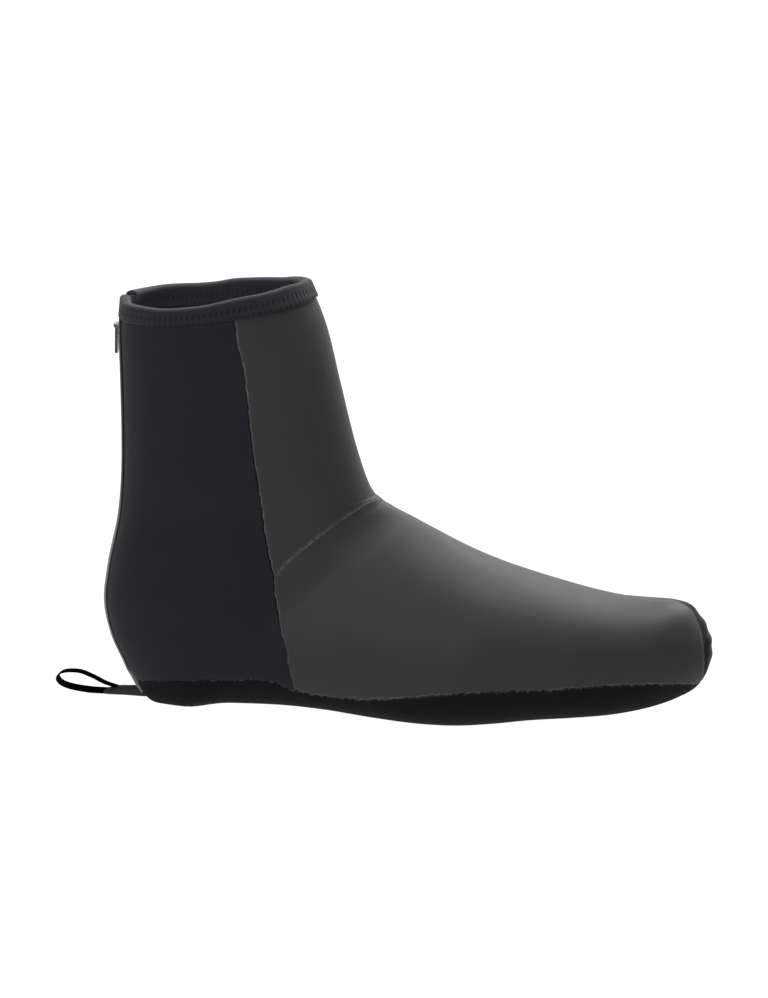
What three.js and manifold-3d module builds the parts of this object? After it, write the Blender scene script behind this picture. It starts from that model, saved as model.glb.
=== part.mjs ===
// Cycling overshoe for a right foot, standing empty on its sole.
// One surface carries every piece: it runs through sections from the collar down the shaft,
// round the heel in a fan about the instep crease, and along the foot to the tip of the toe.
// Millimetres. X points to the toe, Y to the medial side, Z up. The origin lies under the heel,
// on the plane that heel and forefoot rest on.
import * as THREE from "three";
import { mergeVertices } from "three/addons/utils/BufferGeometryUtils.js";
import Module from "manifold-3d";

const wasm = await Module();
wasm.setup();

// Sizes of the foot's form
const footLength = 294.3;
const instepHeight = 104;
const toeBox = 51;
const toeSpring = 15;
const archHeight = 4.2;
const heelWidth = 77;
const ballWidth = 104;

// Sizes of the shaft
const shaftHeight = 102.4;
const ankleDepth = 118.5;
const ankleWidth = 81;
const collarDepth = 89;
const collarWidth = 78;
const collarDipLateral = 5;
const collarDipMedial = 2;
const collarDipCurve = 1.2;

// Walls, and the gap that is left between two pieces that meet
const upperWall = 3;
const soleWall = 2.5;
const seamGap = 0.3;

// The sole's wrap up the side, its cleat opening and its heel opening
const soleWrap = 12.5;
const cleatOpeningLength = 60;
const cleatOpeningWidth = 36;
const heelOpeningLength = 32;
const heelOpeningWidth = 28;
const openingCorner = 10;

// Binding folded over the collar's edge
const bindingHeight = 9.7;
const bindingThickness = 1;
const bindingRoll = 2.2;

// Zip up the heel: a coil in a slot, and a coated tape on each side of it
const coilWidth = 6;
const coilDepth = 2.8;
const coilProud = 0.9;
const tapeWidth = 9.7;
const tapeThickness = 0.9;
const zipFoot = 10.5;
const notchDepth = 9;
const notchWidth = 13;

// Slider with its bridge, and the pull tab that hangs from the bridge by a cross-bar
const sliderDrop = 14.4;
const sliderLength = 8;
const sliderWidth = 7.4;
const sliderPlate = 1;
const bridgeRadius = 1.6;
const bridgeWire = 0.65;
const bridgeWidth = 1.1;
const tabWidth = 4.4;
const tabLength = 14;
const tabThickness = 0.9;
const tabClearance = 0.45;

// Pull loop of ribbon, and the sleeve that anchors it under the heel
const ribbonWidth = 7;
const ribbonThickness = 0.8;
const loopReach = 22.5;
const loopHeight = 8;
const sleeveWidth = 10;
const sleeveLength = 22;
const sleeveOverhang = 1.5;
const sleeveRootHeight = 5.2;
const sleeveEndHeight = 4.8;
const sleeveSwing = 5;
const floorClearance = 0.4;

// How finely things are divided: the surface round a section and from one section to the next,
// and then the smaller pieces
const turnsAround = 38;
const outerSteps = 2;
const innerSteps = 1;
const zipSteps = 16;
const zipColumns = 2;
const rollSteps = 5;
const loopSteps = 34;
const sleeveSteps = 5;
const sleeveCorners = 12;
const arcSteps = 6;
const seamSteps = 4;

// Turns rows of numbers into one object a row, by the names of the columns
function table(columns, rows) {
  return rows.map((row) => Object.fromEntries(columns.map((name, k) => [name, row[k]])));
}

// Shaft sections, from the collar down. backRise and frontRise are shares of shaftHeight above
// the instep, back is a share of footLength from the heel's back, and open goes from the ankle's
// depth and width (0) to the collar's (1). belly is where the section is widest, as a share of
// its depth, and the two curves are the exponents of its rounding. dip lowers its sides.
const shaftSections = table(
  ["backRise", "frontRise", "back", "open", "belly", "backCurve", "frontCurve", "dip"],
  [
    [0.885, 1.000, 0.018, 1.00, 0.50, 2.15, 1.95, 1.00],
    [0.742, 0.789, 0.016, 0.66, 0.50, 2.15, 1.95, 0.62],
    [0.518, 0.521, 0.020, 0.44, 0.49, 2.15, 1.95, 0.25],
    [0.264, 0.253, 0.024, 0.22, 0.47, 2.15, 1.95, 0.05],
    [0.039, 0.068, 0.025, 0.00, 0.45, 2.15, 1.95, 0.00],
  ],
);

// Foot sections, from above the heel to the tip of the toe. Each one runs from a point of the
// back or sole line to a point of the crest line.
// Sole line: sole is a share of footLength, and its height adds lift x instepHeight,
// arch x archHeight, spring x toeSpring and nose x toeBox.
// Crest line: crest is a share of footLength, and its height adds spring x toeSpring,
// box x toeBox and climb x (instepHeight - toeBox).
// ball goes from the heel's width (0) to the ball's (1), lateral and medial are shares of that
// width on each side of the middle, and lean moves the middle, as a share of ballWidth.
const footSections = table(
  ["sole", "lift", "arch", "spring", "nose", "crest", "box", "climb",
    "ball", "lateral", "medial", "belly", "soleCurve", "crestCurve", "lean"],
  [
    [0.020, 0.846, 0.00, 0.00, 0.000, 0.441, 1.000, 1.010, 0.00, 0.500, 0.500, 0.43, 2.20, 1.95, 0.000],
    [0.006, 0.635, 0.00, 0.00, 0.000, 0.448, 1.000, 0.990, 0.00, 0.500, 0.494, 0.42, 2.20, 1.95, 0.000],
    [0.000, 0.452, 0.00, 0.00, 0.000, 0.453, 1.000, 0.966, 0.00, 0.500, 0.488, 0.41, 2.20, 1.95, 0.000],
    [0.012, 0.303, 0.00, 0.00, 0.000, 0.458, 1.000, 0.947, 0.00, 0.500, 0.485, 0.40, 2.25, 1.95, 0.000],
    [0.031, 0.194, 0.00, 0.00, 0.000, 0.465, 1.000, 0.928, 0.00, 0.500, 0.482, 0.39, 2.35, 1.95, 0.000],
    [0.054, 0.096, 0.00, 0.00, 0.000, 0.472, 1.000, 0.908, 0.00, 0.500, 0.480, 0.38, 2.50, 1.95, 0.000],
    [0.089, 0.005, 0.00, 0.00, 0.000, 0.481, 1.000, 0.883, 0.00, 0.500, 0.482, 0.37, 2.90, 1.95, 0.000],
    [0.143, 0.000, -0.55, 0.00, 0.000, 0.493, 1.000, 0.851, 0.00, 0.506, 0.484, 0.35, 3.25, 1.95, 0.000],
    [0.214, 0.000, 0.35, 0.00, 0.000, 0.507, 1.000, 0.815, 0.05, 0.518, 0.480, 0.34, 2.90, 1.95, 0.000],
    [0.296, 0.000, 0.45, 0.00, 0.000, 0.524, 1.000, 0.768, 0.16, 0.529, 0.476, 0.33, 2.90, 1.95, 0.000],
    [0.378, 0.000, 0.25, 0.00, 0.000, 0.546, 1.000, 0.708, 0.36, 0.528, 0.476, 0.33, 2.90, 1.98, 0.000],
    [0.459, 0.000, -0.20, 0.00, 0.000, 0.575, 1.000, 0.628, 0.64, 0.522, 0.482, 0.33, 2.95, 2.00, 0.000],
    [0.530, 0.000, -0.50, 0.00, 0.000, 0.612, 1.000, 0.534, 0.85, 0.511, 0.492, 0.33, 3.00, 2.05, 0.005],
    [0.595, 0.000, -0.50, 0.01, 0.000, 0.654, 1.000, 0.442, 1.00, 0.500, 0.495, 0.34, 3.00, 2.10, 0.010],
    [0.656, 0.000, -0.20, 0.04, 0.000, 0.699, 1.000, 0.354, 1.00, 0.486, 0.495, 0.35, 3.00, 2.15, 0.019],
    [0.717, 0.000, 0.00, 0.13, 0.000, 0.746, 1.000, 0.256, 1.00, 0.457, 0.479, 0.36, 2.90, 2.20, 0.029],
    [0.778, 0.000, 0.00, 0.23, 0.000, 0.796, 1.000, 0.159, 1.00, 0.426, 0.458, 0.37, 2.80, 2.25, 0.038],
    [0.836, 0.000, 0.00, 0.33, 0.000, 0.849, 1.000, 0.080, 1.00, 0.380, 0.421, 0.39, 2.70, 2.25, 0.048],
    [0.884, 0.000, 0.00, 0.49, 0.000, 0.893, 1.000, 0.018, 1.00, 0.334, 0.380, 0.41, 2.60, 2.25, 0.058],
    [0.923, 0.000, 0.00, 0.70, 0.000, 0.930, 0.955, 0.000, 1.00, 0.284, 0.328, 0.43, 2.50, 2.20, 0.065],
    [0.953, 0.000, 0.00, 0.94, 0.000, 0.960, 0.830, 0.000, 1.00, 0.230, 0.270, 0.46, 2.35, 2.10, 0.071],
    [0.976, 0.000, 0.00, 1.00, 0.065, 0.981, 0.680, 0.000, 1.00, 0.172, 0.203, 0.49, 2.20, 2.05, 0.075],
    [0.991, 0.000, 0.00, 1.00, 0.190, 0.994, 0.540, 0.000, 1.00, 0.110, 0.132, 0.50, 2.05, 2.00, 0.077],
    [1.000, 0.000, 0.00, 1.00, 0.360, 1.000, 0.376, 0.000, 1.00, 0.004, 0.004, 0.50, 2.00, 2.00, 0.077],
  ],
);

// Where the origin lies along the foot, under the flat of the heel, as a share of footLength
const restPlace = 0.1325;

// Where the middles of the sole's openings lie, as shares of footLength from the heel's back
const cleatOpeningPlace = 0.585;
const heelOpeningPlace = 0.237;

// Height of the seam between sole and upper: along is a share of footLength from the heel's
// back, and the height adds wrap x soleWrap and spring x toeSpring
const soleSeam = table(
  ["along", "wrap", "spring"],
  [
    [-0.200, 0.60, 0.00],
    [0.040, 0.60, 0.00],
    [0.082, 0.72, 0.00],
    [0.119, 0.96, 0.00],
    [0.166, 1.02, 0.00],
    [0.316, 0.95, 0.00],
    [0.401, 0.90, 0.00],
    [0.493, 1.01, 0.00],
    [0.574, 1.22, 0.01],
    [0.656, 1.33, 0.04],
    [0.754, 1.32, 0.19],
    [0.843, 1.26, 0.34],
    [0.900, 0.97, 0.58],
    [0.948, 0.54, 0.89],
    [0.976, 0.16, 1.06],
    [1.200, 0.14, 1.06],
  ],
);

// Middle line of the pull loop, from its lower end at the sleeve round to its upper end:
// reach is a share of loopReach behind the sleeve, height a share of loopHeight above the lower
// leg's end, swing a share of loopReach towards the lateral side, and tilt turns the ribbon's
// width, in degrees
const loopPath = table(
  ["reach", "height", "swing", "tilt"],
  [
    [0.00, 0.00, 0.00, 2],
    [0.06, 0.00, 0.00, 3],
    [0.34, 0.08, 0.08, 5],
    [0.66, 0.26, 0.20, 6],
    [0.89, 0.50, 0.29, 6],
    [1.00, 0.83, 0.33, 5],
    [0.96, 1.14, 0.32, 3],
    [0.80, 1.30, 0.27, 2],
    [0.54, 1.26, 0.18, 0],
    [0.28, 0.92, 0.08, -2],
    [0.06, 0.44, 0.00, -2],
    [0.00, 0.44, 0.00, -2],
  ],
);

function mix(from, to, share) {
  return from + (to - from) * share;
}

// A section of the surface in millimetres, from a row of the shaft's table
function shaftSection(row) {
  const backX = row.back * footLength;
  const halfWidth = mix(ankleWidth, collarWidth, row.open) / 2;
  return {
    backX,
    backZ: instepHeight + row.backRise * shaftHeight,
    frontX: backX + mix(ankleDepth, collarDepth, row.open),
    frontZ: instepHeight + row.frontRise * shaftHeight,
    lateral: halfWidth,
    medial: halfWidth,
    belly: row.belly,
    backCurve: row.backCurve,
    frontCurve: row.frontCurve,
    middle: 0,
    dip: row.dip,
  };
}

// The same from a row of the foot's table
function footSection(row) {
  const width = mix(heelWidth, ballWidth, row.ball);
  const spring = row.spring * toeSpring;
  return {
    backX: row.sole * footLength,
    backZ: row.lift * instepHeight + row.arch * archHeight + spring + row.nose * toeBox,
    frontX: row.crest * footLength,
    frontZ: spring + row.box * toeBox + row.climb * (instepHeight - toeBox),
    lateral: row.lateral * width,
    medial: row.medial * width,
    belly: row.belly,
    backCurve: row.soleCurve,
    frontCurve: row.crestCurve,
    middle: row.lean * ballWidth,
    dip: 0,
  };
}

const sections = [...shaftSections.map(shaftSection), ...footSections.map(footSection)];
const lastStation = sections.length - 1;
const sectionNames = Object.keys(sections[0]);

// The value of one name of the sections at a station: a cubic through the sections, whose slope
// at each one comes from its two neighbours
function sectionValue(name, station) {
  const k = Math.min(Math.floor(station), lastStation - 1);
  const t = station - k;
  const value = (row) => sections[row][name];
  const slope = (row) => {
    if (row === 0) return value(1) - value(0);
    if (row === lastStation) return value(row) - value(row - 1);
    return (value(row + 1) - value(row - 1)) / 2;
  };
  const t2 = t * t;
  const t3 = t2 * t;
  return value(k) * (2 * t3 - 3 * t2 + 1) + slope(k) * (t3 - 2 * t2 + t)
    + value(k + 1) * (3 * t2 - 2 * t3) + slope(k + 1) * (t3 - t2);
}

// A point of the outer surface. station counts the sections from the collar (0) to the toe.
// turn goes round one, from the back or sole (0) over the lateral side to the front or crest
// (PI), and back over the medial side. Nothing of it reaches below the floor.
function surfacePoint(station, turn) {
  const s = {};
  for (const name of sectionNames) {
    s[name] = sectionValue(name, station);
  }
  const cosine = Math.cos(turn);
  const sine = Math.sin(turn);
  const power = 2 / (cosine > 0 ? s.backCurve : s.frontCurve);
  const reach = Math.abs(cosine) ** power;
  const side = Math.abs(sine) ** power;
  const share = cosine > 0 ? s.belly * (1 - reach) : s.belly + (1 - s.belly) * reach;
  const dip = s.dip * Math.abs(sine) ** collarDipCurve * (sine > 0 ? collarDipLateral : collarDipMedial);
  return new THREE.Vector3(
    mix(s.backX, s.frontX, share) - restPlace * footLength,
    s.middle + (sine > 0 ? -s.lateral : s.medial) * side,
    Math.max(mix(s.backZ, s.frontZ, share) - dip, 0),
  );
}

// The directions along the sections and round them at a point, and the outward normal
const probe = 0.02;

function surfaceFrame(station, turn) {
  const from = Math.max(station - probe, 0);
  const to = Math.min(station + probe, lastStation);
  const along = surfacePoint(to, turn).sub(surfacePoint(from, turn)).divideScalar(to - from);
  const around = surfacePoint(station, turn + probe).sub(surfacePoint(station, turn - probe));
  const normal = new THREE.Vector3().crossVectors(along, around).normalize();
  return { along, normal };
}

// A point at a distance outside the surface, or inside it where the distance is negative
function offsetPoint(station, turn, distance) {
  const point = surfacePoint(station, turn);
  if (distance === 0) return point;
  return point.addScaledVector(surfaceFrame(station, turn).normal, distance);
}

// The turn at which the back half of a section stands at a distance y from the middle
function turnAt(station, y) {
  const offset = y - sectionValue("middle", station);
  const width = sectionValue(offset < 0 ? "lateral" : "medial", station);
  const side = Math.min(Math.abs(offset) / width, 1);
  const turn = Math.asin(side ** (sectionValue("backCurve", station) / 2));
  return offset < 0 ? turn : -turn;
}

// The station whose back line passes a height, found by halving. The back line comes down to the
// floor at the heel's flat, whose section is the first one with its sole line at no lift.
const heelFlat = shaftSections.length + footSections.findIndex((row) => row.lift === 0);
const halvings = 40;

function backStation(height) {
  let upper = 0;
  let lower = heelFlat;
  for (let step = 0; step < halvings; step += 1) {
    const middle = (upper + lower) / 2;
    if (surfacePoint(middle, 0).z > height) {
      upper = middle;
    } else {
      lower = middle;
    }
  }
  return upper;
}

// A geometry from points and triangles, turned right way out
function closedGeometry(points, triangles) {
  const positions = new Float32Array(points.flatMap((point) => [point.x, point.y, point.z]));
  const normal = new THREE.Vector3();
  const volume = triangles.reduce((sum, [a, b, c]) => {
    return sum + points[a].dot(normal.crossVectors(points[b], points[c]));
  }, 0);
  const outward = volume > 0 ? triangles : triangles.map(([a, b, c]) => [a, c, b]);
  const geometry = new THREE.BufferGeometry();
  geometry.setAttribute("position", new THREE.BufferAttribute(positions, 3));
  geometry.setIndex(outward.flat());
  return geometry;
}

// One face of a skin at a distance from the surface: rings from the collar down and along to the
// tip of the toe, added to the points and triangles. It gives back its first point.
function addLayer(points, triangles, distance, steps, inwards) {
  const first = points.length;
  const rings = lastStation * steps;
  for (let ring = 0; ring < rings; ring += 1) {
    for (let k = 0; k < turnsAround; k += 1) {
      points.push(offsetPoint(ring / steps, (2 * Math.PI * k) / turnsAround, distance));
    }
  }
  const tip = points.length;
  points.push(surfacePoint(lastStation, 0).add(new THREE.Vector3(distance, 0, 0)));
  const add = (a, b, c) => triangles.push(inwards ? [a, c, b] : [a, b, c]);
  for (let ring = 0; ring < rings; ring += 1) {
    for (let k = 0; k < turnsAround; k += 1) {
      const a = first + ring * turnsAround + k;
      const b = first + ring * turnsAround + ((k + 1) % turnsAround);
      if (ring === rings - 1) {
        add(a, tip, b);
      } else {
        add(a, a + turnsAround, b);
        add(b, a + turnsAround, b + turnsAround);
      }
    }
  }
  return first;
}

// A hollow skin of the surface with a wall inside it: closed round the toe and open at the
// collar, where a flat rim joins its two faces
function skinGeometry(wall) {
  const points = [];
  const triangles = [];
  const outer = addLayer(points, triangles, 0, outerSteps, false);
  const inner = addLayer(points, triangles, -wall, innerSteps, true);
  for (let k = 0; k < turnsAround; k += 1) {
    const next = (k + 1) % turnsAround;
    triangles.push([outer + k, outer + next, inner + k]);
    triangles.push([outer + next, inner + next, inner + k]);
  }
  return closedGeometry(points, triangles);
}

// Everything inside a distance from the surface, closed across the collar
function filledGeometry(distance) {
  const points = [];
  const triangles = [];
  const outer = addLayer(points, triangles, distance, outerSteps, false);
  const middle = surfacePoint(0, 0).lerp(surfacePoint(0, Math.PI), 0.5);
  for (let k = 0; k < turnsAround; k += 1) {
    triangles.push([outer + k, outer + ((k + 1) % turnsAround), points.length]);
  }
  points.push(middle);
  return closedGeometry(points, triangles);
}

// A solid through rings of points that all follow one flat outline. The outline closes its two
// ends, unless the rings themselves run round in a circle.
function sweptGeometry(rings, outline, circular = false) {
  const points = rings.flat();
  const count = outline.length;
  const triangles = [];
  const spans = circular ? rings.length : rings.length - 1;
  for (let ring = 0; ring < spans; ring += 1) {
    const next = (ring + 1) % rings.length;
    for (let k = 0; k < count; k += 1) {
      const after = (k + 1) % count;
      triangles.push([ring * count + k, next * count + k, ring * count + after]);
      triangles.push([ring * count + after, next * count + k, next * count + after]);
    }
  }
  if (!circular) {
    const last = spans * count;
    const ordered = THREE.ShapeUtils.isClockWise(outline) ? -1 : 1;
    for (const face of THREE.ShapeUtils.triangulateShape(outline, [])) {
      const [a, b, c] = ordered > 0 ? face : [face[0], face[2], face[1]];
      triangles.push([a, b, c]);
      triangles.push([last + a, last + c, last + b]);
    }
  }
  return closedGeometry(points, triangles);
}

// Solids for joining and cutting, and back
function solidOf(geometry) {
  const bare = geometry.clone();
  bare.deleteAttribute("normal");
  bare.deleteAttribute("uv");
  const merged = mergeVertices(bare, 1e-4);
  return new wasm.Manifold(new wasm.Mesh({
    numProp: 3,
    vertProperties: merged.attributes.position.array,
    triVerts: new Uint32Array(merged.index.array),
  }));
}

function geometryOf(solid) {
  const { vertProperties, triVerts } = solid.getMesh();
  const geometry = new THREE.BufferGeometry();
  geometry.setAttribute("position", new THREE.BufferAttribute(vertProperties, 3));
  geometry.setIndex(new THREE.BufferAttribute(triVerts, 1));
  geometry.computeVertexNormals();
  return geometry;
}

// A block whose outline is drawn in one plane, and which runs along the third axis
function prism(outline, from, to, plane) {
  const shape = outline instanceof THREE.Shape ? outline : new THREE.Shape(outline);
  const geometry = new THREE.ExtrudeGeometry(shape, {
    depth: to - from,
    bevelEnabled: false,
    curveSegments: arcSteps,
  });
  geometry.translate(0, 0, from);
  const axes = {
    side: [[1, 0, 0], [0, 0, 1], [0, -1, 0]],
    back: [[0, 1, 0], [0, 0, 1], [1, 0, 0]],
    top: [[1, 0, 0], [0, 1, 0], [0, 0, 1]],
  }[plane].map((axis) => new THREE.Vector3(...axis));
  return geometry.applyMatrix4(new THREE.Matrix4().makeBasis(...axes));
}

function roundedRectangle(centreX, centreY, width, height, corner) {
  const shape = new THREE.Shape();
  const left = centreX - width / 2;
  const right = centreX + width / 2;
  const bottom = centreY - height / 2;
  const top = centreY + height / 2;
  shape.moveTo(left + corner, bottom);
  shape.lineTo(right - corner, bottom);
  shape.absarc(right - corner, bottom + corner, corner, -Math.PI / 2, 0);
  shape.lineTo(right, top - corner);
  shape.absarc(right - corner, top - corner, corner, 0, Math.PI / 2);
  shape.lineTo(left + corner, top);
  shape.absarc(left + corner, top - corner, corner, Math.PI / 2, Math.PI);
  shape.lineTo(left, bottom + corner);
  shape.absarc(left + corner, bottom + corner, corner, Math.PI, Math.PI * 1.5);
  return shape;
}

// Everything below the seam between sole and upper, or above it, with half the gap kept back
const clearOfShoe = 60;

function seamBlock(above) {
  const line = new THREE.SplineCurve(soleSeam.map((row) => new THREE.Vector2(
    (row.along - restPlace) * footLength,
    row.wrap * soleWrap + row.spring * toeSpring + (above ? -seamGap : seamGap) / 2,
  ))).getPoints(soleSeam.length * seamSteps);
  const limit = above ? instepHeight + shaftHeight + clearOfShoe : -clearOfShoe;
  const outline = [
    ...line,
    new THREE.Vector2(line[line.length - 1].x, limit),
    new THREE.Vector2(line[0].x, limit),
  ];
  return solidOf(prism(outline, -clearOfShoe * 2, clearOfShoe * 2, "side"));
}

// The zip's slot up the heel, which widens into a notch in the collar
const rimHeight = surfacePoint(0, 0).z;
const slotHalf = coilWidth / 2 + seamGap;

function slotBlock() {
  const top = rimHeight + clearOfShoe;
  const slope = (notchWidth / 2 - slotHalf) / notchDepth;
  const topHalf = notchWidth / 2 + slope * clearOfShoe;
  const outline = [
    new THREE.Vector2(-slotHalf, zipFoot + seamGap),
    new THREE.Vector2(slotHalf, zipFoot + seamGap),
    new THREE.Vector2(slotHalf, rimHeight - notchDepth),
    new THREE.Vector2(topHalf, top),
    new THREE.Vector2(-topHalf, top),
    new THREE.Vector2(-slotHalf, rimHeight - notchDepth),
  ];
  const heelBack = -restPlace * footLength;
  return solidOf(prism(outline, heelBack - clearOfShoe / 2, heelBack + clearOfShoe / 2, "back"));
}

function upperGeometry() {
  const skin = solidOf(skinGeometry(upperWall));
  return geometryOf(skin.subtract(seamBlock(false)).subtract(slotBlock()));
}

// An opening through the sole, by the place of its middle along the foot
function openingBlock(place, length, width) {
  const x = (place - restPlace) * footLength;
  const outline = roundedRectangle(x, 0, length, width, openingCorner);
  return solidOf(prism(outline, -soleWall, soleWrap, "top"));
}

function soleGeometry() {
  const skin = solidOf(skinGeometry(soleWall));
  const cleat = openingBlock(cleatOpeningPlace, cleatOpeningLength, cleatOpeningWidth);
  const heel = openingBlock(heelOpeningPlace, heelOpeningLength, heelOpeningWidth);
  return geometryOf(skin.subtract(seamBlock(true)).subtract(cleat).subtract(heel));
}

// A point near the collar's rim: drop goes down the wall from the rim, distance out of the wall
function rimPoint(turn, drop, distance) {
  const { along } = surfaceFrame(0, turn);
  const station = Math.max(drop, 0) / along.length();
  const above = Math.min(drop, 0);
  return offsetPoint(station, turn, distance).addScaledVector(along.normalize(), above);
}

// Binding: a strip folded over the rim, with a rolled top edge, cut away at the zip's notch
function bindingGeometry() {
  const outside = seamGap + bindingThickness;
  const inside = -upperWall - seamGap - bindingThickness;
  const profile = [
    [bindingHeight, seamGap],
    [-seamGap, seamGap],
    [-seamGap, -upperWall - seamGap],
    [bindingHeight, -upperWall - seamGap],
    [bindingHeight, inside],
  ];
  for (let k = 0; k <= rollSteps; k += 1) {
    const angle = Math.PI * (1 - k / rollSteps);
    const across = (inside + outside) / 2 + (Math.cos(angle) * (outside - inside)) / 2;
    profile.push([-bindingRoll * Math.sin(angle), across]);
  }
  profile.push([bindingHeight, outside]);
  const rings = [];
  for (let k = 0; k <= turnsAround; k += 1) {
    const turn = (2 * Math.PI * k) / turnsAround;
    rings.push(profile.map(([drop, distance]) => rimPoint(turn, drop, distance)));
  }
  const outline = profile.map(([drop, distance]) => new THREE.Vector2(drop, distance));
  return geometryOf(solidOf(sweptGeometry(rings, outline, true)).subtract(slotBlock()));
}

// A strip that lies along the heel's back line, from one height down to another, between two
// places across it and two distances from the wall
function backStrip(fromHeight, toHeight, fromY, toY, inside, outside) {
  const outline = [];
  for (let k = 0; k <= zipColumns; k += 1) {
    outline.push(new THREE.Vector2(mix(fromY, toY, k / zipColumns), inside));
  }
  for (let k = zipColumns; k >= 0; k -= 1) {
    outline.push(new THREE.Vector2(mix(fromY, toY, k / zipColumns), outside));
  }
  const rings = [];
  for (let k = 0; k <= zipSteps; k += 1) {
    const station = mix(backStation(fromHeight), backStation(toHeight), k / zipSteps);
    rings.push(outline.map(({ x, y }) => offsetPoint(station, turnAt(station, x), y)));
  }
  return geometryOf(solidOf(sweptGeometry(rings, outline)));
}

const zipTop = rimHeight - bindingHeight - seamGap;

function tapeGeometry(side) {
  const outside = seamGap + tapeThickness;
  const [from, to] = [slotHalf * side, (slotHalf + tapeWidth) * side];
  return backStrip(zipTop, zipFoot, from, to, seamGap, outside);
}

function coilGeometry() {
  const half = coilWidth / 2;
  const foot = zipFoot + 2 * seamGap;
  const inside = coilProud - coilDepth;
  return backStrip(zipTop, foot, -half, half, inside, coilProud);
}

// Where the slider sits: on the coil, square to the back of the shaft
const sliderStation = backStation(rimHeight - sliderDrop);
const sliderFrame = surfaceFrame(sliderStation, 0);
const sliderSeat = coilProud + seamGap;
const barDistance = sliderSeat + sliderPlate + tabThickness / 2 + seamGap;

// Axes of the zip's head: X out of the back, Y across it, Z up along the zip
function zipHeadBasis() {
  const out = sliderFrame.normal.clone();
  const up = sliderFrame.along.clone().normalize().negate();
  const across = new THREE.Vector3().crossVectors(up, out).normalize();
  return new THREE.Matrix4().makeBasis(out, across, up);
}

// The slider's plate, and the bridge over it that holds the cross-bar of the tab
function sliderGeometry() {
  const plateOutline = roundedRectangle(0, 0, sliderWidth, sliderLength, sliderWidth / 4);
  const plate = solidOf(prism(plateOutline, sliderSeat, sliderSeat + sliderPlate, "back"));
  const ring = new THREE.Shape();
  ring.absarc(barDistance, 0, bridgeRadius, 0, Math.PI * 2);
  const hole = new THREE.Path();
  hole.absarc(barDistance, 0, bridgeRadius - bridgeWire, 0, Math.PI * 2, true);
  ring.holes.push(hole);
  const bridge = solidOf(prism(ring, -bridgeWidth / 2, bridgeWidth / 2, "side"));
  const below = new THREE.Shape([
    new THREE.Vector2(-sliderWidth, -sliderLength),
    new THREE.Vector2(sliderWidth, -sliderLength),
    new THREE.Vector2(sliderWidth, sliderLength),
    new THREE.Vector2(-sliderWidth, sliderLength),
  ]);
  const coilSide = solidOf(prism(below, -sliderWidth, sliderSeat + sliderPlate / 2, "back"));
  return geometryOf(plate.add(bridge.subtract(coilSide)));
}

// The pull tab: a plate with an eye round the bridge, whose upper edge is the cross-bar. Its
// own origin is the middle of the cross-bar.
function tabGeometry() {
  const bar = tabThickness / 2;
  const eyeTop = -bar;
  const eyeBottom = -bridgeRadius - tabClearance;
  const eyeHalf = bridgeWidth / 2 + tabClearance;
  const outline = roundedRectangle(0, bar - tabLength / 2, tabWidth, tabLength, tabWidth / 2 - bar);
  const eye = new THREE.Path([
    new THREE.Vector2(-eyeHalf, eyeTop),
    new THREE.Vector2(-eyeHalf, eyeBottom),
    new THREE.Vector2(eyeHalf, eyeBottom),
    new THREE.Vector2(eyeHalf, eyeTop),
  ]);
  outline.holes.push(eye);
  return prism(outline, -bar, bar, "back");
}

// The middle of the sleeve's free end, behind the heel
const sleeveEnd = new THREE.Vector3(
  sleeveOverhang - restPlace * footLength,
  -sleeveSwing,
  floorClearance + sleeveEndHeight / 2,
);

// Sleeve of cloth that anchors the loop: a flat tube that tapers to the rear, cut to the heel
function sleeveGeometry() {
  const outline = [];
  const flattened = (value) => Math.sign(value) * Math.sqrt(Math.abs(value)) / 2;
  for (let k = 0; k < sleeveCorners; k += 1) {
    const angle = (2 * Math.PI * (k + 0.5)) / sleeveCorners;
    outline.push(new THREE.Vector2(flattened(Math.cos(angle)), flattened(Math.sin(angle))));
  }
  const rings = [];
  for (let k = 0; k <= sleeveSteps; k += 1) {
    const share = k / sleeveSteps;
    const height = mix(sleeveEndHeight, sleeveRootHeight, share);
    rings.push(outline.map(({ x, y }) => new THREE.Vector3(
      sleeveEnd.x + share * sleeveLength,
      mix(sleeveEnd.y, 0, share) + x * sleeveWidth,
      floorClearance + (y + 0.5) * height,
    )));
  }
  const shoe = solidOf(filledGeometry(seamGap));
  return geometryOf(solidOf(sweptGeometry(rings, outline)).subtract(shoe));
}

// The loop: a ribbon carried along the path, with its two ends against the sleeve
function loopGeometry() {
  const legSpread = loopPath[loopPath.length - 1].height * loopHeight;
  const path = new THREE.CatmullRomCurve3(loopPath.map((row) => new THREE.Vector3(
    sleeveEnd.x - seamGap - row.reach * loopReach,
    sleeveEnd.y - row.swing * loopReach,
    sleeveEnd.z - legSpread / 2 + row.height * loopHeight,
  )), false, "centripetal");
  const outline = [
    new THREE.Vector2(-ribbonWidth / 2, -ribbonThickness / 2),
    new THREE.Vector2(ribbonWidth / 2, -ribbonThickness / 2),
    new THREE.Vector2(ribbonWidth / 2, ribbonThickness / 2),
    new THREE.Vector2(-ribbonWidth / 2, ribbonThickness / 2),
  ];
  const rings = [];
  for (let k = 0; k <= loopSteps; k += 1) {
    const share = k / loopSteps;
    const at = path.getPoint(share);
    const tangent = path.getTangent(share);
    const row = share * (loopPath.length - 1);
    const low = loopPath[Math.floor(row)];
    const high = loopPath[Math.ceil(row)];
    const tilt = THREE.MathUtils.degToRad(mix(low.tilt, high.tilt, row - Math.floor(row)));
    const level = new THREE.Vector3(0, Math.cos(tilt), Math.sin(tilt));
    const face = new THREE.Vector3().crossVectors(tangent, level).normalize();
    const across = new THREE.Vector3().crossVectors(face, tangent).normalize();
    rings.push(outline.map(({ x, y }) => {
      return at.clone().addScaledVector(across, x).addScaledVector(face, y);
    }));
  }
  return sweptGeometry(rings, outline);
}

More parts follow.
